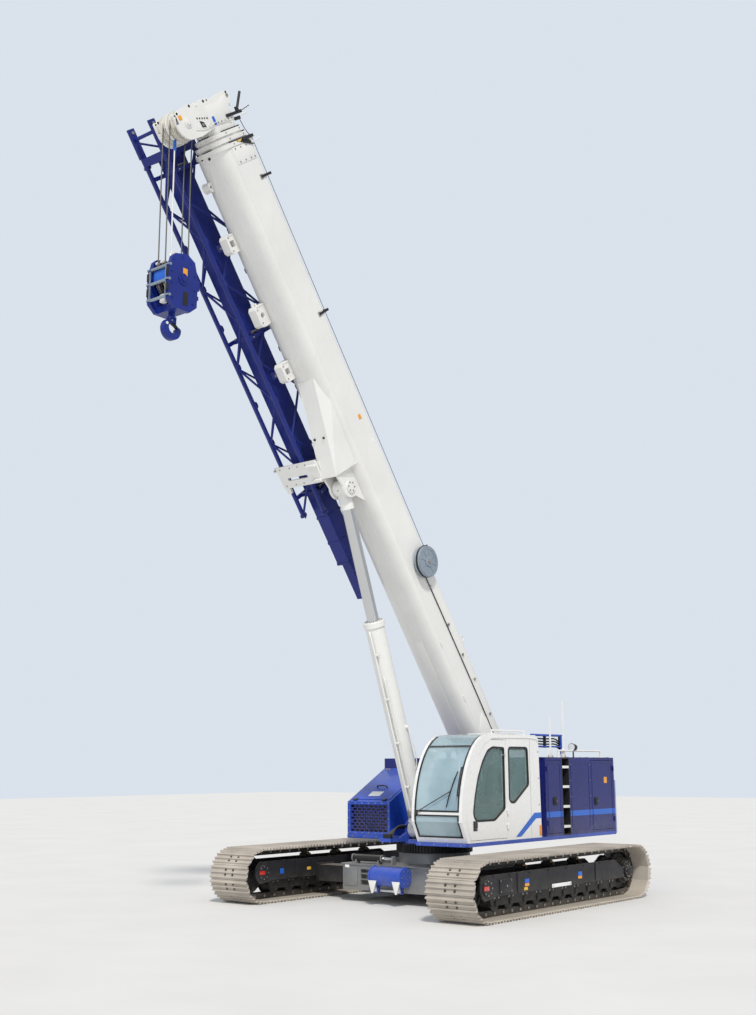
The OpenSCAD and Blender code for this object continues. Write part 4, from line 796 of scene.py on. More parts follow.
def pillow(name, centre, size, tilt=0.0, power=0.38, crown=0.0):
    """Stuffed cushion: a rounded block whose faces bulge, with a seam round its middle."""
    nu, nv = 40, 22

    def soft(v):
        return math.copysign(abs(v) ** power, v)

    rows = []
    for j in range(nv + 1):
        v = -math.pi / 2 + math.pi * j / nv
        k = 1 + 0.012 * math.exp(-(v / 0.07) ** 2)
        row = []
        for i in range(nu):
            u = 2 * math.pi * i / nu
            x, y, z = soft(math.cos(v)) * soft(math.cos(u)), soft(math.cos(v)) * soft(math.sin(u)), soft(math.sin(v))
            bulge = crown * max(0, 1 - x * x) * max(0, 1 - y * y) * (1 if z > 0 else 0)
            crease = 0.0024 * math.cos(9 * u) * abs(math.sin(v)) ** 3
            row.append((x * size[0] / 2 * k, y * size[1] / 2 * k, z * size[2] / 2 + bulge + crease))
        rows.append(row)
    bm = loft(rows, caps=False)
    bmesh.ops.remove_doubles(bm, verts=bm.verts, dist=1e-5)
    bmesh.ops.recalc_face_normals(bm, faces=bm.faces)
    bmesh.ops.transform(bm, matrix=Matrix.Translation(centre) @ Matrix.Rotation(tilt, 4, "X"), verts=bm.verts)
    for f in bm.faces:
        f.smooth = True
    o = link(name, bm, ["cloth"])
    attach(o, "upper")


# ---------------------------------------------------------------- cab

CAB_X0, CAB_X1, CAB_MID = 0.608, 1.509, 1.0585
DOOR_WINDOW = [(-0.262, 1.420), (-0.262, 2.300), (-0.560, 2.310), (-0.690, 2.260), (-0.830, 2.100), (-0.950, 1.880),
               (-1.040, 1.600), (-1.085, 1.380), (-1.060, 1.300), (-1.000, 1.260), (-0.540, 1.260)]
REAR_WINDOW = [(-0.130, 1.540), (-0.130, 2.280), (-0.100, 2.310), (0.370, 2.310), (0.400, 2.280), (0.415, 1.760),
               (0.010, 1.500), (-0.080, 1.500)]
INNER_WINDOW = [(-1.080, 1.300), (-0.950, 1.880), (-0.690, 2.260), (-0.200, 2.300), (-0.200, 1.300)]
KNEE_Z = 1.25


def nose_y(z, d=0.0):
    """Front of the cab at height z, moved forward by d: straight below the knee, oval above it."""
    if z < KNEE_Z:
        return -1.240 - (z - DECK_Z) / (KNEE_Z - DECK_Z) * 0.145 - d
    return -0.64 - (0.745 + d) * math.sqrt(max(0, 1 - ((z - KNEE_Z) / (1.257 + d)) ** 2))


def nose_strip(piece, x0, x1, z0, z1, n, lift=0.003):
    """Thin rubber strip that follows the cab's curved front."""
    rows = []
    for i in range(n + 1):
        z = z0 + (z1 - z0) * i / n
        rows.append([(x, nose_y(z, d), z) for x, d in ((x0, lift), (x1, lift), (x1, -0.006), (x0, -0.006))])
    piece.take(loft(rows), "rubber")


def wiper(p):
    """Windscreen wiper on its motor cover."""
    (px, pz), (tx, tz), (ax, az), (bx, bz) = (0.70, 1.372), (1.30, 1.68), (1.24, 1.46), (1.37, 1.96)
    p.cyl((px, nose_y(pz, -0.004), pz), (px, nose_y(pz, 0.030), pz), 0.024, "plastic", 20, bevel=0.003)
    mx, mz = (px + tx) / 2, (pz + tz) / 2
    p.tube([(px, nose_y(pz, 0.026), pz), (mx, nose_y(mz, 0.034), mz), (tx, nose_y(tz, 0.030), tz)], 0.007, "plastic",
           8, 1)
    blade = [(ax + (bx - ax) * t / 6, nose_y(az + (bz - az) * t / 6, 0.013), az + (bz - az) * t / 6) for t in range(7)]
    p.tube(blade, 0.008, "rubber", 6)
    p.tube([(x, y - 0.012, z) for x, y, z in blade[1:6]], 0.005, "plastic", 6)


def cab_details():
    p = Piece("cab_details")
    seal(p, REAR_WINDOW, "x", CAB_X1 - 0.02, CAB_X1 + 0.004)
    for window in (REAR_WINDOW, INNER_WINDOW):
        seal(p, window, "x", CAB_X0 - 0.004, CAB_X0 + 0.02)
    seal(p, rect(CAB_X0 + 0.15, CAB_X1 - 0.15, 1.50, 2.30), "y", 0.748, 0.772)
    # Seals of the windscreen, the roof pane and the lower screen
    for x in (CAB_X0 + 0.052, CAB_X1 - 0.076):
        nose_strip(p, x, x + 0.024, 1.40, 2.478, 16)
        nose_strip(p, x, x + 0.024, 1.035, 1.34, 6)
    for z0, z1 in ((1.388, 1.412), (1.328, 1.350), (1.024, 1.046)):
        nose_strip(p, CAB_X0 + 0.052, CAB_X1 - 0.052, z0, z1, 2)
    nose_strip(p, CAB_X0 + 0.06, CAB_X1 - 0.06, 2.318, 2.338, 2, 0.004)
    # Rain gutter along the roof and the rear pillar's seam
    x = CAB_X1 + 0.004
    p.tube([(x, -0.60, 2.452), (x, 0.10, 2.462), (x, 0.64, 2.462), (x, 0.72, 2.40)], 0.009, "cabwhite", 8, 2)
    p.box((CAB_X1 - 0.001, 0.470, 0.99), (CAB_X1 + 0.0008, 0.474, 2.44), "dark", 0)
    p.bolts(CAB_X1, 0.71, (1.08, 1.45, 1.85, 2.25), (1, 0, 0), 0.009)
    wiper(p)
    # Lower front: blue lip below the cab, grab rail
    p.box((0.62, -1.305, 0.902), (1.50, -1.226, 0.950), "blue", 0.010)
    p.bolts((0.70, 0.95, 1.20, 1.43), -1.305, 0.926, (0, -1, 0), 0.009)
    p.tube([(1.43, nose_y(1.62), 1.62), (1.44, nose_y(1.62, 0.045), 1.62), (1.44, nose_y(2.02, 0.045), 2.02),
            (1.43, nose_y(2.02), 2.02)], 0.011, "dark", 8, 1)
    # Stripe on the lower rear corner, amber reflector
    p.prism([(0.02, 0.990), (0.17, 0.990), (0.61, 1.243), (0.766, 1.243), (0.766, 1.329), (0.56, 1.329)], "x",
            CAB_X1 - 0.001, CAB_X1 + 0.0012, "stripe", 0)
    p.box((CAB_X1, 0.700, 0.990), (CAB_X1 + 0.012, 0.750, 1.140), "amberlens")
    # Roof: hatch with its seal, ventilator slots as dark strips of painted shade, feet of the rail
    p.box((0.78, -0.20, 2.500), (1.33, 0.42, 2.515), "rubber", 0.004)
    p.box((0.80, -0.18, 2.507), (1.31, 0.40, 2.535), "cabwhite", 0.010)
    for k in range(6):
        p.box((0.90 + 0.06 * k, 0.50, 2.507), (0.93 + 0.06 * k, 0.60, 2.514), "dark", 0.002)
    for y in (-0.40, 0.50):
        p.cyl((1.389, y, 2.505), (1.389, y, 2.515), 0.032, "cabwhite", 20, bevel=0.003)
    # Rubber mounts between cab and deck
    for x, y in itertools.product((0.70, 1.42), (-1.05, 0.62)):
        p.cyl((x, y, 0.944), (x, y, 0.957), 0.055, "rubber", 24)
    p.done()


cab_details()


def door_details():
    p = Piece("door_details", "cab_door_body")
    seal(p, DOOR_WINDOW, "x", CAB_X1 - 0.02, CAB_X1 + 0.004)
    # Handle in its recess, with a lock
    p.box((CAB_X1 - 0.002, -1.100, 1.120), (CAB_X1 + 0.006, -1.000, 1.260), "plastic", 0.006)
    p.box((CAB_X1 + 0.006, -1.085, 1.165), (CAB_X1 + 0.024, -1.015, 1.240), "plastic", 0.007)
    p.disc((CAB_X1 + 0.004, -1.045, 1.152), (0.006, 0, 0), 0.010, "steel", 16)
    # Inner grab rail and the door's lower pocket
    x, x1 = CAB_X1 - 0.05, CAB_X1 - 0.085
    p.tube([(x, -0.30, 1.50), (x1, -0.30, 1.52), (x1, -0.30, 1.92), (x, -0.30, 1.94)], 0.012, "dark", 8, 1)
    p.box((CAB_X1 - 0.075, -0.86, 1.05), (CAB_X1 - 0.046, -0.36, 1.20), "plastic", 0.008)
    # Stay of the opened door
    p.tube([(CAB_X1 + 0.008, -0.235, 2.20), (CAB_X1 + 0.022, -0.250, 2.20), (CAB_X1 + 0.022, -0.33, 2.20),
            (CAB_X1 + 0.006, -0.345, 2.20)], 0.006, "steel", 6)
    p.done()


door_details()


def seat():
    p = Piece("seat_frame")
    p.box((CAB_MID - 0.19, -0.14, 1.001), (CAB_MID + 0.19, 0.24, 1.06), "dark", 0.008)
    # Bellows between floor and pan
    for k in range(6):
        z, d = 1.06 + 0.035 * k, 0.012 * (k % 2)
        p.box((CAB_MID - 0.17 - d, -0.12 - d, z), (CAB_MID + 0.17 + d, 0.22 + d, z + 0.035), "rubber", 0.010)
    p.box((CAB_MID - 0.21, -0.17, 1.27), (CAB_MID + 0.21, 0.26, 1.335), "plastic", 0.012)
    p.prism([(0.245, 1.42), (0.30, 1.42), (0.435, 2.05), (0.395, 2.06)], "x", CAB_MID - 0.20, CAB_MID + 0.20,
            "plastic", 0.012)
    for s in SIDES:
        p.prism([(-0.12, 1.36), (0.30, 1.36), (0.34, 1.66), (0.30, 1.66)], "x", CAB_MID + s * 0.215,
                CAB_MID + s * 0.255, "plastic", 0.006)
    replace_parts(p.done(), "seat")
    pillow("seat_cushion", (CAB_MID, 0.03, 1.400), (0.49, 0.51, 0.125), crown=0.012)
    pillow("seat_back", (CAB_MID, 0.285, 1.765), (0.47, 0.115, 0.62), tilt=-0.22, power=0.34)
    pillow("head_rest", (CAB_MID, 0.372, 2.06), (0.26, 0.09, 0.09), tilt=-0.2, power=0.45)


def cab_controls():
    p = Piece("cab_controls")
    for x0, x1 in ((CAB_MID - 0.39, CAB_MID - 0.27), (CAB_MID + 0.262, CAB_MID + 0.38)):
        # Lever with its bellows and grip, armrest, rows of keys
        x = (x0 + x1) / 2
        for k in range(5):
            p.disc((x, -0.27, 1.560 + 0.012 * k), (0, 0, 0.012), 0.038 - 0.005 * k, "rubber", 20)
        p.tube([(x, -0.27, 1.60), (x, -0.275, 1.66), (x, -0.285, 1.70)], 0.010, "steel", 10)
        p.cyl((x, -0.280, 1.68), (x, -0.298, 1.78), 0.022, "plastic", 18, r2=0.027, bevel=0.006)
        p.box((x0 + 0.012, -0.14, 1.560), (x1 - 0.012, 0.14, 1.600), "rubber", 0.016)
        for k, j in itertools.product(range(5), range(2)):
            x, y = x0 + 0.022 + 0.045 * j, -0.215 + 0.014 * k
            p.box((x, y, 1.558), (x + 0.026, y + 0.010, 1.568), "dark" if (k + j) % 3 else "orange", 0.002)
    # Screen on its stalk, load display, pedals, floor mat, switches overhead
    x = CAB_MID + 0.32
    p.tube([(x, -0.88, 1.002), (x, -0.90, 1.30), (CAB_MID + 0.30, -0.86, 1.48)], 0.016, "plastic", 10, 1)
    p.prism([(-0.905, 1.46), (-0.875, 1.45), (-0.835, 1.66), (-0.865, 1.67)], "x", CAB_MID + 0.17, CAB_MID + 0.41,
            "plastic", 0.008)
    p.prism([(-0.868, 1.475), (-0.862, 1.474), (-0.832, 1.64), (-0.838, 1.641)], "x", CAB_MID + 0.19, CAB_MID + 0.39,
            "lamp", 0.001)
    p.prism([(-0.92, 1.38), (-0.89, 1.37), (-0.86, 1.50), (-0.89, 1.51)], "x", CAB_MID - 0.42, CAB_MID - 0.30,
            "plastic", 0.006)
    for x in (CAB_MID - 0.11, CAB_MID + 0.11):
        p.prism([(-0.98, 1.02), (-0.96, 1.015), (-0.86, 1.10), (-0.88, 1.115)], "x", x - 0.045, x + 0.045, "rubber",
                0.004)
        p.tube([(x, -0.90, 1.09), (x, -0.93, 1.002)], 0.010, "steel", 8)
    p.box((CAB_X0 + 0.08, -1.10, 1.0005), (CAB_X1 - 0.10, -0.38, 1.010), "rubber")
    p.box((CAB_X0 + 0.10, -0.42, 2.39), (CAB_X1 - 0.12, -0.20, 2.455), "plastic", 0.012)
    p.done()


seat()
cab_controls()

# ---------------------------------------------------------------- cooler box and hoods

SIDE_X, HOOD_Y0, HOOD_Y1, ROOF_Z = 1.509, 0.922, 3.157, 2.169
PANEL_Z0, PANEL_Z1 = 1.03, 2.09
SEAM_ZS = (1.05, 1.30, 1.55, 1.80, 2.05)


def cooler_details():
    p = Piece("cooler_details")
    # Bolts round the grille's frame and a folded edge
    p.bolts(tuple(-1.485 + k * 0.138 for k in range(7)), -0.33, (0.985, 1.457), (0, -1, 0), 0.009)
    p.bolts((-1.486, -0.656), -0.33, (1.10, 1.22, 1.34), (0, -1, 0), 0.009)
    p.rim(rect(-1.509, -0.633, 0.957, 1.480), rect(-1.497, -0.645, 0.969, 1.468), "y", -0.337, -0.330, "blue")
    # Sloped cover: raised panel, hinges, latches, a blank plate, handle
    p.at = Matrix.Translation((-1.071, -0.33, 1.48)) @ Matrix.Rotation(math.atan2(0.53, 0.97), 4, "X")
    p.box((-0.40, 0.06, -0.002), (0.40, 1.02, 0.012), "blue", 0.006)
    p.box((-0.12, 0.16, 0.012), (0.12, 0.30, 0.014), "plate", 0.0005)
    for x in (-0.30, 0.30):
        p.cyl((x - 0.05, 1.035, 0.014), (x + 0.05, 1.035, 0.014), 0.013, "steel", 14)
        p.box((x - 0.035, 0.02, 0.0), (x + 0.035, 0.075, 0.024), "rubber", 0.006)
    p.bolts((-0.37, 0.37), (0.15, 0.42, 0.69, 0.95), 0.012, (0, 0, 1), 0.009)
    p.tube([(-0.10, 0.42, 0.010), (-0.10, 0.42, 0.055), (0.10, 0.42, 0.055), (0.10, 0.42, 0.010)], 0.010, "dark", 8, 1)
    p.at = Matrix.Identity(4)
    # Outer side: panel with quarter-turn screws
    p.box((-1.5155, -0.22, 1.02), (-1.508, 0.54, 1.42), "blue", 0.004)
    p.bolts(-1.515, (-0.19, 0.16, 0.51), (1.05, 1.39), (-1, 0, 0), 0.010)
    # Radiator core behind the grille: fins and header tanks
    for k in range(36):
        x = -1.42 + k * 0.0205
        p.box((x, -0.252, 1.02), (x + 0.003, -0.238, 1.42), "steel", 0)
    for z in (0.995, 1.43):
        p.box((-1.44, -0.256, z - 0.012), (-0.69, -0.225, z + 0.012), "dark", 0.004)
    p.done()


cooler_details()


def latch(p, s, y, z):
    """Paddle latch in its dish, on the hood of side s."""
    x = s * SIDE_X
    p.box((x, y - 0.058, z - 0.070), (x + s * 0.005, y + 0.058, z + 0.066), "rubber", 0.005)
    p.box((x + s * 0.005, y - 0.044, z - 0.040), (x + s * 0.018, y + 0.034, z + 0.040), "rubber", 0.005)
    p.disc((x + s * 0.005, y + 0.047, z), (s * 0.007, 0, 0), 0.009, "steel", 14)


def bands(p, s, *spans):
    """Level blue band on the hood of side s, which carries on the stripe of the cab."""
    for y0, y1 in spans:
        p.prism(rect(y0, y1, 1.243, 1.329), "x", s * (SIDE_X - 0.001), s * (SIDE_X + 0.0012), "stripe", 0)


def pressed_panel(p, s, y0, y1):
    """Stiffening press round a door, a rounded frame that stands a little proud."""
    outline = rect(y0, y1, PANEL_Z0, PANEL_Z1)
    p.rim(rounded(outline, 0.05), rounded(outset(outline, -0.016), 0.04), "x", s * SIDE_X, s * (SIDE_X + 0.004),
          "navy")


def roof_seams(p, s, *ys):
    for y in ys:
        p.box((s * 0.64, y - 0.018, ROOF_Z), (s * 1.48, y + 0.018, ROOF_Z + 0.004), "navy", 0.001)
        p.bolts(tuple(s * (0.68 + 0.128 * k) for k in range(7)), y, ROOF_Z + 0.004, (0, 0, 1), 0.008)


def left_hood_details():
    p = Piece("left_hood_details")
    bands(p, 1, (HOOD_Y0, 0.954), (1.406, 1.43), (1.66, 2.354), (3.116, HOOD_Y1))
    pressed_panel(p, 1, 1.71, 2.30)
    p.bolts(SIDE_X, (1.69, 2.33), SEAM_ZS, (1, 0, 0), 0.008)
    # Roof: bolted seams, anti-slip strips, the lamp, feet of the rail
    roof_seams(p, 1, 1.72, 2.34, 3.06)
    for x, y in itertools.product((0.80, 1.28), (1.10, 2.05, 2.75)):
        p.box((x - 0.15, y - 0.20, ROOF_Z), (x + 0.15, y + 0.20, ROOF_Z + 0.003), "dark", 0.001)
    p.tube([(1.40, 2.0, ROOF_Z), (1.40, 2.0, ROOF_Z + 0.10)], 0.012, "dark", 8)
    p.cyl((1.40, 2.06, ROOF_Z + 0.165), (1.40, 1.95, ROOF_Z + 0.165), 0.05, "dark", 24, r2=0.068, bevel=0.004)
    p.cyl((1.40, 1.951, ROOF_Z + 0.165), (1.40, 1.944, ROOF_Z + 0.165), 0.060, "lamp", 24)
    for y in (1.50, 2.90):
        p.disc((1.409, y, ROOF_Z - 0.001), (0, 0, 0.011), 0.034, "white", 20, bevel=0.003)
    # Bolts of the posts beside the ladder
    p.bolts(1.3905, (1.23, 1.35, 1.64, 1.76), ROOF_Z + 0.024, (1, 0, 0), 0.009)
    # Hoses tied to the guard frame
    for k in range(4):
        z = ROOF_Z + 0.20 + 0.045 * k
        p.tube([(0.668 - 0.006 * k, 1.70, ROOF_Z + 0.01), (0.668, 1.84, z), (0.668, 2.3, z - 0.02), (0.668, 2.78, z),
                (0.64, 2.95, ROOF_Z + 0.01)], 0.013, "rubber", 8, 2)
    for y in (1.85, 2.3, 2.8):
        p.box((0.648, y - 0.012, ROOF_Z + 0.17), (0.70, y + 0.012, ROOF_Z + 0.37), "dark")
    # Plate on the front wall, towards the cab
    p.box((0.66, HOOD_Y0 - 0.004, 1.02), (1.46, HOOD_Y0, 2.10), "navy", 0.002)
    # White ladder treads with dark strips that paint the shade in their grooves
    for z in (1.07, 1.38, 1.69, 2.00):
        p.box((1.430, 1.4440, z - 0.003), (1.5125, 1.6460, z + 0.0375), "white", 0.004)
        for k in range(6):
            p.box((1.4985, 1.458 + 0.03 * k, z + 0.033), (1.5085, 1.472 + 0.03 * k, z + 0.0385), "dark", 0.001)
    p.done()
    p = Piece("hood_door_front_trim", "hood_door_front_body")
    pressed_panel(p, 1, 0.99, 1.37)
    latch(p, 1, 1.186, 1.491)
    bands(p, 1, (0.96, 1.40))
    p.done()
    p = Piece("hood_door_rear_trim", "hood_door_rear_body")
    pressed_panel(p, 1, 2.39, 3.08)
    latch(p, 1, 2.503, 1.460)
    bands(p, 1, (2.36, 3.11))
    p.prism(rect(2.80, 2.90, 1.750, 1.850), "x", SIDE_X, SIDE_X + 0.0012, "orange", 0)
    p.done()


left_hood_details()


def right_hood_details():
    p = Piece("right_hood_details")
    bands(p, -1, (0.645, 1.494), (2.906, HOOD_Y1))
    pressed_panel(p, -1, 0.72, 1.42)
    p.bolts(-SIDE_X, (0.70, 1.45, 2.95), SEAM_ZS, (-1, 0, 0), 0.008)
    # Roof: filler cap, air intake with its cap, silencer's outlet
    p.disc((-1.30, 1.00, ROOF_Z), (0, 0, 0.035), 0.055, "dark", 28, bevel=0.006)
    p.disc((-0.85, 1.60, ROOF_Z), (0, 0, 0.12), 0.045, "dark", 24)
    p.disc((-0.85, 1.60, ROOF_Z + 0.11), (0, 0, 0.07), 0.085, "dark", 30, r2=0.070, bevel=0.008)
    p.disc((-1.20, 2.45, ROOF_Z), (0, 0, 0.012), 0.10, "steel", 30)
    p.tube([(-1.20, 2.45, ROOF_Z), (-1.20, 2.45, ROOF_Z + 0.22), (-1.20, 2.55, ROOF_Z + 0.30),
            (-1.20, 2.66, ROOF_Z + 0.31)], 0.042, "steel", 20, 3)
    roof_seams(p, -1, 1.48, 3.06)
    p.done()
    p = Piece("engine_door_trim", "engine_door_body")
    pressed_panel(p, -1, 1.54, 2.86)
    bands(p, -1, (1.50, 2.90))
    for y in (1.62, 2.78):
        latch(p, -1, y, 1.50)
    # Two fields of louvres, each over a dark sheet that paints the shade in the openings between them
    for y in (1.66, 2.26):
        p.box((-SIDE_X - 0.002, y, 1.56), (-SIDE_X, y + 0.50, 2.03), "dark", 0)
        for k in range(11):
            z = 1.575 + 0.041 * k
            p.prism([(-SIDE_X, z + 0.030), (-SIDE_X - 0.016, z), (-SIDE_X - 0.019, z + 0.002), (-SIDE_X, z + 0.036)],
                    "y", y + 0.01, y + 0.49, "navy", 0)
    p.done()


right_hood_details()


def counterweight_details():
    p = Piece("counterweight_details")
    rear = HOOD_Y1 + 0.43
    # Joint between its two slabs, bolts, lifting lugs, reflectors
    p.box((-1.17, rear - 0.001, 1.335), (1.17, rear + 0.0008, 1.341), "dark", 0)
    for x, z in itertools.product((-0.95, -0.35, 0.35, 0.95), (1.02, 1.66)):
        p.disc((x, rear, z), (0, 0.012, 0), 0.045, "blue", 26, bevel=0.003)
        p.bolt((x, rear + 0.012, z), (0, 1, 0), 0.022)
    for x in (-0.80, 0.80):
        p.tube([(x - 0.07, 3.36, 1.80), (x - 0.07, 3.36, 1.86), (x, 3.36, 1.90), (x + 0.07, 3.36, 1.86),
                (x + 0.07, 3.36, 1.80)], 0.016, "steel", 10, 2)
    for x in SIDES:
        p.box((x - 0.07, rear, 1.18), (x + 0.07, rear + 0.012, 1.22), "redlens")
    p.done()


counterweight_details()


# ---------------------------------------------------------------- boom, drawn level in its own frame

# Points are x, minus the distance from the boom pin (often t), and the height over it (often u)

BW, BH, DROP = 0.62, 0.692, 0.018
SIDE, TOP, BOTTOM = BW / 2, BH / 2 - DROP, -BH / 2 - DROP
MOUTH, STEP = 10.750, 0.090
ROPE_X = -0.07


def boom_trim():
    p = Piece("boom_trim", "boom_base_body", BOOM)
    for s in SIDES:
        # Weld beads where the flat sides meet the folded corners
        for x, u in ((SIDE, BOTTOM + 0.2 * BH), (SIDE, TOP - 0.06), (0.12 * BW, BOTTOM)):
            p.tube([(s * x, 0.2, u), (s * x, -MOUTH + 0.07, u)], 0.0035, "white", 6)
        # Doubler plates round the pin and at the mouth
        x = s * (SIDE + 0.008)
        p.prism([(-0.75, BOTTOM + 0.16), (0.20, BOTTOM + 0.16), (0.235, 0.0), (0.20, TOP - 0.07), (-0.45, TOP - 0.07),
                 (-0.95, 0.02)], "x", s * SIDE, x, "white")
        p.bolt_ring((x, 0, 0), (s, 0, 0), 0.085 * 1.35, 8, 0.009, h=0.006, washer=False)
        x = s * (SIDE + 0.006)
        p.box((s * SIDE, -MOUTH + 0.07, BOTTOM + 0.17), (x, -MOUTH + 0.32, TOP - 0.075), "white", 0.002)
        p.bolts(x, (-MOUTH + 0.10, -MOUTH + 0.29), (-0.13, 0.0, 0.13, 0.22), (s, 0, 0), 0.010)
    p.box((-0.070, -2.60, BOTTOM - 0.008), (0.070, -0.20, BOTTOM + 0.001), "white")
    # Screws of the wear pads on the top face
    p.bolts((-0.06, 0.0, 0.06), (-MOUTH + 0.10, -MOUTH + 0.15), TOP, (0, 0, 1), 0.011)
    # Rope guide posts that stand over the top edge
    for t in (10.16, 8.01, 3.91):
        p.box((SIDE, -t - 0.020, 0.17), (SIDE + 0.014, -t + 0.020, TOP + 0.085), "rubber")
        p.tube([(SIDE + 0.007, -t, TOP + 0.075), (-0.16, -t, TOP + 0.075)], 0.016, "rubber", 12)
        p.box((SIDE, -t - 0.035, 0.15), (SIDE + 0.009, -t + 0.035, 0.21), "steel", 0.002)
    # White lugs and the ring on the top edge
    for t in (8.61, 6.78):
        p.box((SIDE - 0.045, -t - 0.014, TOP - 0.002), (SIDE - 0.031, -t + 0.014, TOP + 0.085), "white")
    p.tube([(SIDE - 0.03, y, TOP + h) for y, h in ((-2.15, 0), (-2.15, 0.05), (-2.20, 0.072), (-2.25, 0.05),
                                                  (-2.25, 0))], 0.010, "white", 10, 2)
    for t in (2.45, 1.41):
        p.box((SIDE - 0.02, -t - 0.06, BOTTOM + 0.115), (SIDE + 0.010, -t + 0.06, BOTTOM + 0.145), "white")
    # Blank sticker and round mark on the side
    p.box((SIDE, -6.38, 0.075), (SIDE + 0.0015, -6.30, 0.145), "orange", 0.0005)
    p.disc((SIDE, -5.91, 0.19), (0.0015, 0, 0), 0.032, "plate", 28)
    # Cable of the length gauge from the reel to the head, lead from the reel to the foot with its clips
    start = (SIDE - 0.015, -3.99, TOP + 0.020)
    p.tube([start, (SIDE - 0.018, -MOUTH, TOP + 0.022)], 0.004, "rubber", 6)
    p.tube([(SIDE + 0.02, -3.80, 0.33), (SIDE - 0.01, -3.93, TOP + 0.015), start], 0.005, "rubber", 6, 1)
    p.tube([(SIDE + 0.012, y, u) for y, u in ((-3.62, 0.05), (-3.52, 0.055), (-3.0, 0.070), (-1.6, 0.095),
                                             (-1.2, 0.100), (-0.3, 0.100))], 0.008, "rubber", 8, 2)
    for t, u in ((3.35, 0.068), (2.6, 0.125), (2.0, 0.163), (1.5, 0.198), (0.8, 0.22)):
        p.box((SIDE, -t - 0.016, u - 0.020), (SIDE + 0.024, -t + 0.016, u + 0.020), "steel")
    # Hoist rope on the top, carried by the rollers
    p.tube([(ROPE_X, 0.2, TOP + 0.04), (ROPE_X, -0.4, TOP + 0.10), (ROPE_X, -MOUTH - 0.28, TOP + 0.10)], 0.009, "rope",
           8)
    for t in (0.5, 5.6):
        p.disc((-0.15, -t, TOP + 0.055), (0.30, 0, 0), 0.034, "steel", 22)
        for x in (-0.16, 0.15):
            p.prism([(-t - 0.06, TOP), (-t + 0.06, TOP), (-t + 0.02, TOP + 0.085), (-t - 0.02, TOP + 0.085)], "x", x,
                    x + 0.010, "white", 0.002)
    # Small bosses below the mouth
    for x, t, low in ((-0.14, 10.69, 0.002), (0.0, 10.66, -0.010)):
        p.cyl((x, -t, BOTTOM + low), (x, -t, BOTTOM + 0.012), 0.020, "dark", 18)
    p.done()


def gusset_trim():
    """Bolted caps and weld beads round the head of the luffing cylinder."""
    p = Piece("gusset_trim", "boom_base_body", BOOM)
    for s in SIDES:
        p.bolt_ring((s * 0.172, -5.49, -0.554), (s, 0, 0), 0.068, 6, 0.011)
        p.tube([(s * 0.147, -5.785, -0.72), (s * 0.147, -5.785, BOTTOM)], 0.006, "white", 6)
        p.tube([(s * 0.276, -5.768, -0.25), (s * 0.149, -5.768, -0.755), (s * 0.150, -7.2, BOTTOM - 0.006)], 0.006,
               "white", 6)
    p.tube([(-0.15, -5.768, -0.757), (0.15, -5.768, -0.757)], 0.006, "white", 6)
    for x in (-0.09, 0.09):
        p.cyl((x, -6.35, -0.603), (x, -6.345, -0.615), 0.020, "dark", 18)
    p.done()


def mouth_trim(i, body, name):
    """Black pads and screws at the mouth of a section, beside the collar."""
    w, top, low = (BW - 0.06 * i) / 2, (BH - 0.06 * i) / 2 - DROP, -(BH - 0.06 * i) / 2 - DROP
    y = -MOUTH - STEP * i
    p = Piece(name, body, BOOM)
    for s in SIDES:
        p.box((s * (w - 0.055), y - 0.018, top - 0.045), (s * (w - 0.012), y + 0.004, top - 0.012), "rubber")
        for k in range(9):
            u = BOTTOM + 0.20 + 0.056 * k
            if i != 1 and u + 0.04 < top:
                p.box((s * (w - 0.028), y - 0.016, u), (s * (w + 0.0145), y + 0.004, u + 0.040), "dark", 0.002)
        p.bolts(s * (w + 0.015), y + 0.03, (-0.12, 0.20), (s, 0, 0), 0.009)
    if i != 1:
        for x in (-0.07, -0.025, 0.020, 0.065):
            p.box((x - 0.016, y - 0.016, low - 0.0145), (x + 0.016, y + 0.004, low + 0.020), "dark", 0.002)
    p.bolts((-0.05, 0.05), y + 0.03, top + 0.015, (0, 0, 1), 0.009)
    if i == 0:
        # Dark plate on the corner of the mouth's upper edge, with its guide bar and feeler
        x = SIDE + 0.015
        p.prism([(y + 0.005, -0.06), (y + 0.005, 0.20), (y + 0.135, 0.300), (y + 0.075, 0.12)], "x", x - 0.004,
                x + 0.004, "dark", 0.001)
        p.box((x, y - 0.012, 0.09), (x + 0.016, y + 0.034, 0.345), "rubber")
        p.box((x + 0.003, y + 0.002, -0.02), (x + 0.0055, y + 0.028, 0.05), "yellow", 0.0005)
        p.tube([(x, y + 0.10, 0.25), (x, y + 0.075, 0.49)], 0.009, "white", 8)
    p.done()


def bracket_trim():
    """Flanges and small lugs of the jib brackets on the underside."""
    p = Piece("bracket_trim", "boom_base_body", BOOM)
    for t, half, low in ((7.44, 0.15, -0.58), (8.35, 0.16, -0.60), (9.46, 0.14, -0.56)):
        for x, y in itertools.product((-0.298, -0.150), (-t - half + 0.004, -t + half - 0.018)):
            p.box((x, y, low + 0.05), (x + 0.008, y + 0.014, BOTTOM), "white", 0.001)
        for x, n in ((-0.150, 1), (-0.290, -1)):
            p.bolts(x, (-t - 0.10, -t + 0.10), low + 0.05, (n, 0, 0), 0.010)
    for u in (-0.54, -0.47):
        p.box((-0.235, -8.545, u - 0.018), (-0.205, -8.505, u + 0.018), "white")
    p.done()


boom_trim()
gusset_trim()
mouth_trim(0, "boom_base_body", "mouth_base")
mouth_trim(1, "boom_second_body", "mouth_second")
mouth_trim(2, "boom_third_body", "mouth_third")
bracket_trim()

# ---------------------------------------------------------------- boom head

NEST_T, NEST_U, HEAD_X = 11.200, -0.720, 0.205
KEEPER_R, KEEPER_ANGLES = 0.222, (0.75, 1.10, 1.45)
HOIST_PATH = [(-10.90, 0.428), (-11.25, 0.420), (-11.335, 0.375), (-11.362, 0.31), (-11.452, -0.16), (-11.40, -0.42),
              (-11.354, -0.80)]


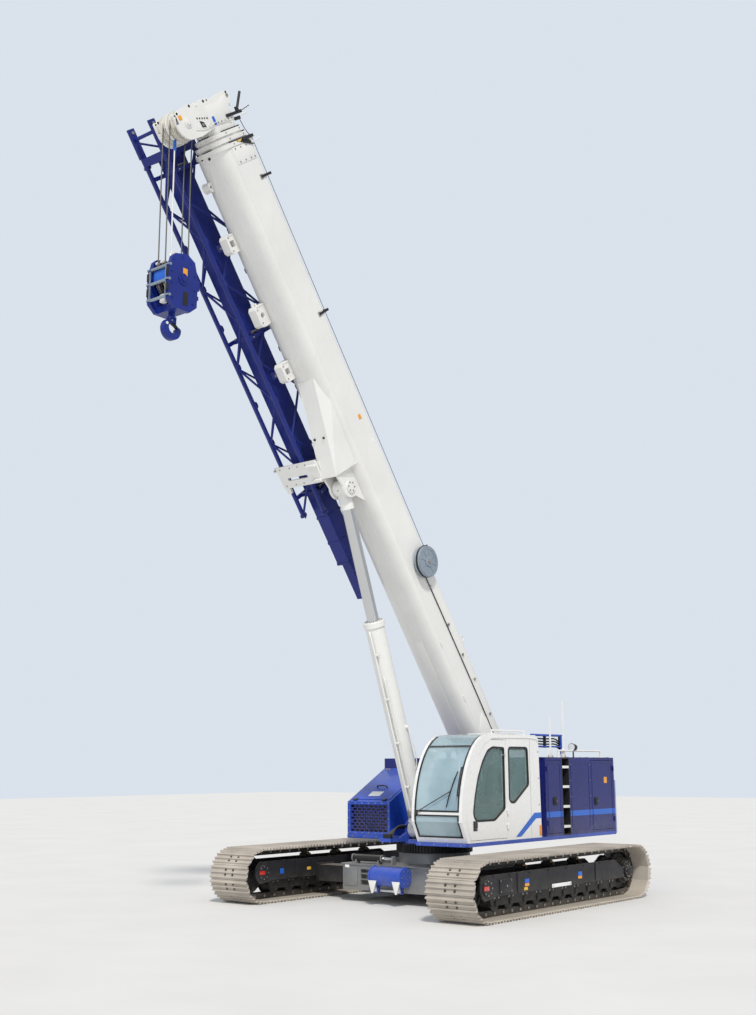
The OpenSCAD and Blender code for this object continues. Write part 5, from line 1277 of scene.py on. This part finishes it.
def eyes(p, s, y, u, r):
    """Dark rings of an eye, painted shade inside the hole, on both faces of a cheek."""
    for x, n in ((s * HEAD_X, s), (s * (HEAD_X - 0.030), -s)):
        p.disc((x, y, u), (n * 0.003, 0, 0), r, "dark", 18)


def head_trim():
    p = Piece("head_trim", "boom_fly_body", BOOM)
    for s in SIDES:
        x, out = s * HEAD_X, (s, 0, 0)
        # Eyes in the waves of the front edge, and the lowest one in its own lug
        for t, u, r in ((11.405, -0.560, 0.020), (11.405, -0.240, 0.020), (11.405, -0.165, 0.012),
                        (11.425, 0.300, 0.018), (11.360, -0.860, 0.018)):
            eyes(p, s, -t, u, r)
        nose = [(-11.345 - 0.030 * c, -0.920 - 0.030 * z) for c, z in circle(16, -math.pi / 2)[:9]]
        p.prism([(-11.22, -0.950), (-11.22, -0.890)] + nose, "x", x, s * (HEAD_X - 0.030), "white")
        eyes(p, s, -11.345, -0.920, 0.0135)
        # Cap of the sheave axle, doublers and bolts
        p.disc((x, -NEST_T, NEST_U), (s * 0.010, 0, 0), 0.070, "white", 36, bevel=0.003)
        p.disc((x + s * 0.020, -NEST_T, NEST_U), (s * 0.006, 0, 0), 0.034, "white", 28, bevel=0.003)
        p.prism([(-11.04, 0.24), (-11.04, -0.22), (-11.10, -0.30), (-11.33, -0.26), (-11.33, 0.06), (-11.40, 0.22),
                 (-11.30, 0.26)], "x", x, x + s * 0.007, "white", 0.002)
        for k in range(5):
            p.bolt((x, -11.216 + 0.010 * k, -0.505 + 0.050 * k), out, 0.010, "dark")
        p.bolts(x + s * 0.007, -11.07, tuple(-0.20 + 0.080 * k for k in range(6)), out, 0.009)
        # Opening that shows the hoist rope's guide wheel: a dark plate of painted shade with the wheel on it
        p.prism([(-11.175, -0.480), (-11.140, -0.400), (-11.055, -0.380), (-11.065, -0.470)], "x", x, x + s * 0.003,
                "dark", 0.0005)
        p.disc((x + s * 0.003, -11.110, -0.435), (s * 0.005, 0, 0), 0.024, "steel", 20, bevel=0.002)
    x = HEAD_X + 0.007
    p.box((x, -11.170, -0.212), (x + 0.002, -11.050, -0.158), "stripe", 0.0005)
    p.box((HEAD_X, -11.330, -0.862), (HEAD_X + 0.002, -11.262, -0.795), "orange", 0.0005)
    # Rope keepers round the sheaves, where the falls never pass while the boom luffs
    for v in KEEPER_ANGLES:
        y, u = -NEST_T - KEEPER_R * math.cos(v), NEST_U + KEEPER_R * math.sin(v)
        p.cyl((-HEAD_X + 0.020, y, u), (HEAD_X - 0.020, y, u), 0.006, "steel", 12)
    # Cross tubes and axles between the cheeks
    for x, y, u, r, m, n, bevel in (
            (HEAD_X + 0.010, -11.380, 0.300, 0.0245, "steel", 20, 0.003),
            (HEAD_X + 0.010, -11.385, -0.420, 0.014, "white", 20, 0.003),
            (HEAD_X + 0.010, -11.080, -0.32, 0.024, "white", 20, 0.003),
            (0.175, -11.343, -0.178, 0.018, "steel", 18, 0), (0.16, -11.250, 0.310, 0.018, "steel", 18, 0)):
        p.cyl((-x, y, u), (x, y, u), r, m, n, bevel=bevel)
    # Guide wheels of pale plastic and the hoist rope on its way to the nest
    for x, t, u, r in ((-0.07, 11.340, -0.180, 0.105), (0.0, 11.345, -0.175, 0.100), (-0.07, 11.250, 0.310, 0.110)):
        p.spin([(0.020, -0.024), (r - 0.020, -0.024), (r, -0.020), (r - 0.016, 0), (r, 0.020), (r - 0.020, 0.024),
                (0.020, 0.024)], (x, -t, u), (1, 0, 0), "nylon", 44)
    p.tube([(ROPE_X, y, u) for y, u in HOIST_PATH], 0.009, "rope", 8, 2)
    for x in (-0.16, 0.150):
        p.prism([(-11.14, 0.20), (-11.34, 0.20), (-11.27, 0.345), (-11.23, 0.345)], "x", x, x + 0.012, "white")
    # Guide bar, post and thin feelers beside the head
    x = HEAD_X + 0.008
    p.box((x, -11.135, 0.09), (x + 0.014, -11.090, 0.455), "rubber")
    p.box((x, -11.190, 0.33), (x + 0.020, -11.120, 0.40), "rubber")
    p.box((x, -11.060, 0.24), (x + 0.016, -11.010, 0.37), "rubber")
    p.tube([(x + 0.007, -11.150, 0.37), (x + 0.007, -11.366, 0.585)], 0.019, "rubber", 10)
    p.tube([(x + 0.007, -11.11, 0.42), (x + 0.007, -11.148, 0.665)], 0.006, "rubber", 6)
    p.tube([(x, -11.038, 0.245), (x, -11.072, 0.535)], 0.011, "white", 8)
    p.tube([(x + 0.005, -11.01, 0.345), (x + 0.01, -10.86, 0.360), (SIDE - 0.015, -10.70, TOP + 0.022)], 0.005,
           "rubber", 6, 1)
    p.tube([(HEAD_X + 0.03, -11.03, 0.15), (HEAD_X + 0.025, -11.10, -0.10), (HEAD_X + 0.018, -11.05, -0.40),
            (HEAD_X + 0.018, -11.10, -0.62)], 0.005, "white", 6, 2)
    p.done()


def hoist_runs():
    """Hoist rope from mouth to mouth: three short stubs at rest, baked in place and not attached to the sections."""
    bodies = ["boom_base_body", "boom_second_body", "boom_third_body", "boom_fly_body"]
    knots = [(ROPE_X, -10.84 - 0.03 * i, 0.446 - 0.006 * i) for i in range(4)]
    for i in range(3):
        p = Piece("hoist_run_%d" % (i + 1), bodies[i], BOOM)
        p.tube(knots[i:i + 2], 0.0085, "rope", 8)
        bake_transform(p.done(ride=False))


head_trim()
hoist_runs()

# ---------------------------------------------------------------- stowed jib

JX, JW, JH, JU = -0.650, 0.440, 0.640, -0.370
JIB_Y0, JIB_Y1, BAYS = -5.2, -10.9, 9


def jib_trim():
    p = Piece("jib_trim", "boom_base_body", BOOM)
    x0, x1, z0, z1 = JX - JW / 2, JX + JW / 2, JU - JH / 2, JU + JH / 2
    # Gusset plates where the braces meet the chords
    for i, x, (z, n) in itertools.product(range(BAYS + 1), (x0, x1), ((z0, 1), (z1, -1))):
        y = JIB_Y0 + i * (JIB_Y1 - JIB_Y0) / BAYS
        half = 0.085 if 0 < i < BAYS else 0.06
        p.prism([(y - half, z + n * 0.020), (y + half, z + n * 0.020), (y + half * 0.35, z + n * 0.085),
                 (y - half * 0.35, z + n * 0.085)], "x", x - 0.006, x + 0.006, "jib", 0.001)
    # Bolted splices, rollers of the guide frames
    for t in (5.5, 8.1, 10.7):
        for x, n in ((x0, -1), (x1, 1)):
            p.bolts(x + n * 0.015, -t, (JU - 0.20, JU + 0.20), (n, 0, 0), 0.012)
            p.disc((JX + n * 0.128, -t - 0.05, JU - 0.10), (0, 0, 0.20), 0.024, "steel", 16)
            p.box((JX + n * 0.124, -t - 0.025, JU - 0.045), (JX + n * 0.205, -t + 0.025, JU + 0.045), "jib")
    # Foot of the inner section: eye, stiffening bands, weld beads
    p.disc((JX - 0.10, -3.60, JU), (0.20, 0, 0), 0.034, "steel", 22, bevel=0.003)
    for t in (4.22, 4.60, 5.05):
        p.rim(rect(JX - 0.128, JX + 0.128, JU - 0.168, JU + 0.168),
              rect(JX - 0.118, JX + 0.118, JU - 0.158, JU + 0.158), "y", -t - 0.02, -t + 0.02, "jib")
    for z in (JU - 0.12, JU + 0.12):
        p.tube([(JX + 0.1205, -4.25, z), (JX + 0.1205, -10.95, z)], 0.004, "jib", 6)
    # Ends of the chords, head end with fork pins, cross tube and link to the boom's head
    for x in (x0, x1):
        p.disc((x - 0.035, -11.40, z0), (0.07, 0, 0), 0.024, "steel", 18, bevel=0.003)
        p.tube([(x, -11.02, z1), (x, -11.25, z0 + 0.03)], 0.016, "jib", 10)
        for z in (z0, z1):
            p.disc((x, JIB_Y1, z), (0, 0.04, 0), 0.052, "jib", 20, bevel=0.004)
            p.disc((x, -5.22, z), (0, 0.04, 0), 0.050, "jib", 20, bevel=0.004)
    p.tube([(x0, -11.30, z0), (x1, -11.30, z0)], 0.026, "jib", 14)
    p.tube([(x1 + 0.02, -11.24, z0 + 0.02), (-HEAD_X - 0.04, -11.24, NEST_U + 0.02)], 0.022, "jib", 12)
    # Plates that hang the jib on the boom's brackets
    for t, low in ((7.44, -0.58), (9.46, -0.56)):
        p.box((x1 - 0.01, -t - 0.05, low + 0.055), (-0.285, -t + 0.05, low + 0.085), "jib", 0.004)
        p.disc((-0.335, -t, low + 0.02), (0, 0, 0.12), 0.018, "steel", 16, bevel=0.002)
    # Slotted arm: bolts and its locking pin
    p.bolts((-0.86, -0.66, -0.50, -0.34), (-6.04, -5.76), -0.7655, (0, 0, -1), 0.010)
    p.cyl((-0.95, -6.045, -0.80), (-0.95, -6.045, -0.70), 0.014, "steel", 14)
    p.done()


jib_trim()

# ---------------------------------------------------------------- cable reel

REEL_X, REEL_Y, REEL_U = SIDE + 0.130, -3.760, 0.130


def reel_point(r, v):
    return REEL_Y + r * math.cos(v), REEL_U + r * math.sin(v)


def reel_trim():
    p = Piece("reel_trim", "boom_base_body", BOOM)
    centre, out = (REEL_X, REEL_Y, REEL_U), (1, 0, 0)
    p.spin([(0.20, 0), (0.245, 0), (0.245, 0.006), (0.20, 0.006)], centre, out, "galv", 48)
    p.disc(centre, (0.016, 0, 0), 0.085, "galv", 40, bevel=0.003)
    p.disc((REEL_X + 0.016, REEL_Y, REEL_U), (0.016, 0, 0), 0.034, "steel", 24, bevel=0.003)
    for k in range(8):
        v = k * math.pi / 4
        spoke = [reel_point(r, v + dv) for r, dv in ((0.085, -0.12), (0.085, 0.12), (0.215, 0.05), (0.215, -0.05))]
        p.prism(spoke, "x", REEL_X, REEL_X + 0.007, "galv", 0.001)
    p.bolt_ring((REEL_X + 0.006, REEL_Y, REEL_U), out, 0.222, 8, 0.007, start=0.39, washer=False)
    # Groove with the wound cable
    p.spin([(0.2502, 0.030), (0.2545, 0.034), (0.2545, 0.066), (0.2502, 0.070)], (SIDE + 0.03, REEL_Y, REEL_U), out,
           "rubber", 48)
    p.box((SIDE, REEL_Y - 0.08, REEL_U - 0.14), (SIDE + 0.012, REEL_Y + 0.08, REEL_U + 0.14), "galv")
    p.done()


reel_trim()

# ---------------------------------------------------------------- luffing cylinder

EYE_T, EYE_U = 5.490, -0.554
EYE = BOOM @ Vector((0, -EYE_T, EYE_U))
CYL_LEN = (EYE - FOOT).length
CYLINDER = Matrix.Translation(FOOT) @ Matrix.Rotation(math.atan2(FOOT.y - EYE.y, EYE.z - FOOT.z), 4, "X")


def cylinder_trim():
    p = Piece("barrel_trim", "cylinder_barrel_body", CYLINDER)
    middle, up = (0, 0, 0), (0, 0, 1)
    p.spin([(0.149, 3.255), (0.168, 3.262), (0.168, 3.342), (0.160, 3.352), (0.100, 3.352), (0.100, 3.340),
            (0.149, 3.338)], middle, up, "white", 52)
    p.bolt_ring((0, 0, 3.352), up, 0.134, 14, 0.010, h=0.010, washer=False)
    p.spin([(0.149, 0.115), (0.163, 0.120), (0.163, 0.175), (0.149, 0.185)], middle, up, "white", 52)
    # Oil pipes with their clamps
    p.tube([(0.0, -0.145, 0.30), (0.02, -0.178, 0.32), (0.03, -0.180, 1.2), (0.03, -0.180, 3.10), (0.02, -0.178, 3.20),
            (0.0, -0.145, 3.22)], 0.016, "white", 12, 2)
    p.tube([(0.06, -0.130, 0.32), (0.085, -0.160, 0.34), (0.085, -0.162, 1.1), (0.085, -0.162, 2.40),
            (0.08, -0.150, 2.46), (0.06, -0.130, 2.48)], 0.010, "white", 10, 2)
    for z in (0.75, 1.45, 2.15, 2.85):
        p.box((0.008, -0.190, z - 0.014), (0.100, -0.148, z + 0.014), "white", 0.004)
    # Elbow and breather pipe on the cab side
    p.cyl((0.140, 0.03, 1.64), (0.185, 0.03, 1.64), 0.030, "white", 20, bevel=0.004)
    p.tube([(0.182, 0.03, 1.65), (0.200, 0.03, 1.56), (0.215, 0.03, 1.25), (0.185, 0.03, 1.02), (0.150, 0.02, 0.97)],
           0.008, "white", 10, 2)
    p.box((-0.05, -0.185, 0.25), (0.05, -0.140, 0.37), "steel", 0.005)
    p.done()
    p = Piece("rod_trim", "cylinder_rod_body", CYLINDER @ Matrix.Translation((0, 0, CYL_LEN)))
    p.spin([(0.129, -0.106), (0.134, -0.103), (0.134, 0.103), (0.129, 0.106)], middle, (1, 0, 0), "white", 44)
    p.spin([(0.094, -0.34), (0.104, -0.335), (0.106, -0.12), (0.094, -0.10)], middle, up, "white", 44)
    p.cyl((0, -0.130, -0.02), (0, -0.145, -0.022), 0.010, "steel", 12)
    p.done()


cylinder_trim()

# ---------------------------------------------------------------- hook block

NEST = BOOM @ Vector((0, -NEST_T, NEST_U))
BLOCK = NEST - Vector((0, 0, 2.290))
CHEEK_X = 0.215
SPACERS = ((-0.235, 0.150), (-0.245, -0.060), (-0.235, -0.280))


def block_trim():
    p = Piece("block_trim", "hook_block_body", Matrix.Translation(BLOCK))
    for s in SIDES:
        x, out = s * CHEEK_X, (s, 0, 0)
        # Axle cap and the screws of the weights
        p.disc((x, 0, 0), (s * 0.010, 0, 0), 0.085, "hookblue", 40, bevel=0.004)
        p.disc((x + s * 0.015, 0, 0), (s * 0.007, 0, 0), 0.036, "hookblue", 28, bevel=0.003)
        p.bolt_ring((x + s * 0.010, 0, 0), out, 0.062, 6, 0.009, "hookblue", start=0.3, washer=False)
        for y, z in ((-0.17, 0.24), (-0.02, 0.31), (0.13, 0.27), (0.20, 0.10), (0.20, -0.10), (0.18, -0.30),
                     (-0.20, -0.10), (-0.18, -0.30), (-0.21, 0.06)):
            p.bolt((x, y, z), out, 0.012, "hookblue", h=0.009)
        # Slot in the lower half as a dark plate of painted shade, steps on the rear edge
        p.prism([(-0.005, -0.36), (0.085, -0.35), (0.095, -0.16), (0.005, -0.16)], "x", x, x + s * 0.0025, "dark",
                0.0005)
        for z0, z1, reach in ((-0.080, 0.070, 0.292), (-0.215, -0.160, 0.280)):
            p.box((s * 0.158, 0.240, z0), (s * 0.213, reach, z1), "hookblue", 0.004)
        # Pale bar ends, blocks, and dark boxes that paint the shade in the gaps on the front edge of the weight
        for y, z in SPACERS:
            p.box((s * 0.166, y - 0.033, z - 0.010), (s * 0.212, y - 0.018, z + 0.010), "galv", 0.002)
            p.bolt((x, y, z), out, 0.017, "galv")
        for z in (0.045, -0.170):
            p.box((s * 0.170, -0.2675, z - 0.055), (s * 0.214, -0.250, z + 0.055), "dark", 0.001)
        p.box((s * 0.1545, -0.270, -0.300), (s * 0.164, -0.245, 0.120), "galv", 0.001)
    # Sleeves on the front spacer bars, blue plate between the upper two
    for y, z in SPACERS:
        p.cyl((-0.154, y, z), (0.154, y, z), 0.0215, "galv", 20)
    p.box((-0.130, -0.222, -0.030), (0.110, -0.214, 0.120), "stripe")
    # Dark top guards with their pale bolts
    for x in (-0.11, 0.0, 0.11):
        p.prism([(-0.225, 0.17), (-0.15, 0.265), (0.0, 0.305), (0.0, 0.285), (-0.14, 0.245), (-0.212, 0.16)], "x",
                x - 0.008, x + 0.008, "dark", 0.002)
    for x in (-0.115, -0.02):
        p.cyl((x - 0.022, -0.175, 0.255), (x + 0.022, -0.175, 0.255), 0.021, "white", 18, bevel=0.003)
    p.box((CHEEK_X, -0.010, 0.0), (CHEEK_X + 0.0025, 0.068, 0.165), "orange", 0.0004)
    # Grey link low between the cheeks
    p.box((-0.03, -0.190, -0.325), (0.05, -0.120, -0.215), "plate", 0.006)
    # Dead end: shackle, link and its pin above the middle
    p.tube([(0.0, -0.055, 0.300), (0.0, -0.060, 0.400), (0.0, -0.02, 0.440), (0.0, 0.02, 0.400), (0.0, 0.015, 0.300)],
           0.013, "white", 10, 2)
    p.cyl((-0.150, -0.02, 0.320), (0.150, -0.02, 0.320), 0.020, "white", 18, bevel=0.003)
    p.prism([(-0.075, 0.33), (0.035, 0.33), (0.015, 0.45), (-0.055, 0.45)], "x", 0.014, 0.030, "white", 0.004)
    # Bearing of the hook
    p.cyl((0, 0, -0.330), (0, 0, -0.255), 0.098, "steel", 36, bevel=0.005)
    p.done()


def limit_weight():
    """Line of the limit switch that hangs from the head beside the falls."""
    p = Piece("limit_weight", "hook_block_body", Matrix.Translation(NEST))
    p.tube([(0.0, -0.045, -0.22), (0.0, -0.045, -1.86)], 0.010, "white", 8)
    p.cyl((0, -0.045, -0.20), (0, -0.045, -0.36), 0.022, "stripe", 18, bevel=0.004)
    for k in range(3):
        z = -1.86 - 0.035 * k
        p.tube([(0.0, -0.045, z), (0.010 * (-1) ** k, -0.045, z - 0.018), (0.0, -0.045, z - 0.040)], 0.005, "galv", 6)
    p.done()


def hook_trim():
    """Latch in the throat of the hook, its pin and the collar of the shank."""
    p = Piece("hook_trim", "hook_body", Matrix.Translation(BLOCK + Vector((0, 0, -0.640))))
    p.prism([(-0.045, 0.095), (-0.010, 0.120), (0.120, 0.030), (0.108, 0.005)], "x", -0.022, 0.022, "dark", 0.004)
    p.cyl((-0.052, -0.025, 0.100), (0.052, -0.025, 0.100), 0.013, "galv", 16, bevel=0.002)
    p.cyl((-0.056, -0.110, 0.040), (0.052, -0.110, 0.040), 0.020, "white", 18, bevel=0.003)
    p.spin([(0.050, 0.118), (0.068, 0.122), (0.068, 0.150), (0.050, 0.154)], (0, 0, 0), (0, 0, 1), "hookblue", 36)
    p.done()


block_trim()
limit_weight()
hook_trim()

# ---------------------------------------------------------------- floor and light

floor_mesh = bpy.data.meshes.new("floor")
floor_mesh.from_pydata([(*p, -0.001) for p in rect(-60, 60, -60, 60)], [], [(0, 1, 2, 3)])
floor_mat, nt, bsdf = new_material("studio_floor")
vec = coords(nt)
patches = remap(nt, noise(nt, vec, 0.6, 6), 0.3, 0.7)
nt.links.new(mix(nt, patches, (0.74, 0.73, 0.71, 1), (0.78, 0.77, 0.75, 1)), bsdf.inputs["Base Color"])
bsdf.inputs["Roughness"].default_value = 0.9
bump(nt, bsdf, noise(nt, vec, 20, 6), 0.08, 0.01)
floor_mesh.materials.append(floor_mat)
floor = bpy.data.objects.new("floor", floor_mesh)
scene.collection.objects.link(floor)

world = bpy.data.worlds.new("studio")
scene.world = world
world.use_nodes = True
nt = world.node_tree
light = nt.nodes["Background"]
backdrop = nt.nodes.new("ShaderNodeBackground")
for node, color, strength in ((light, (0.86, 0.90, 0.96, 1), 0.62), (backdrop, (0.70, 0.76, 0.84, 1), 1.0)):
    node.inputs["Color"].default_value = color
    node.inputs["Strength"].default_value = strength
seen = nt.nodes.new("ShaderNodeMixShader")
nt.links.new(nt.nodes.new("ShaderNodeLightPath").outputs["Is Camera Ray"], seen.inputs[0])
nt.links.new(light.outputs[0], seen.inputs[1])
nt.links.new(backdrop.outputs[0], seen.inputs[2])
nt.links.new(seen.outputs[0], nt.nodes["World Output"].inputs["Surface"])


def sun(name, direction, strength, angle, color):
    d = bpy.data.lights.new(name, "SUN")
    d.energy = strength
    d.angle = math.radians(angle)
    d.color = color
    o = bpy.data.objects.new(name, d)
    o.rotation_mode = "QUATERNION"
    o.rotation_quaternion = Vector(direction).to_track_quat("-Z", "Y")
    scene.collection.objects.link(o)


sun("key", (-0.62, 0.62, -0.95), 2.3, 6, (1.0, 0.97, 0.92))
sun("fill", (-0.2, 0.9, -0.25), 0.35, 40, (0.9, 0.95, 1.0))

scene.view_settings.view_transform = "Standard"
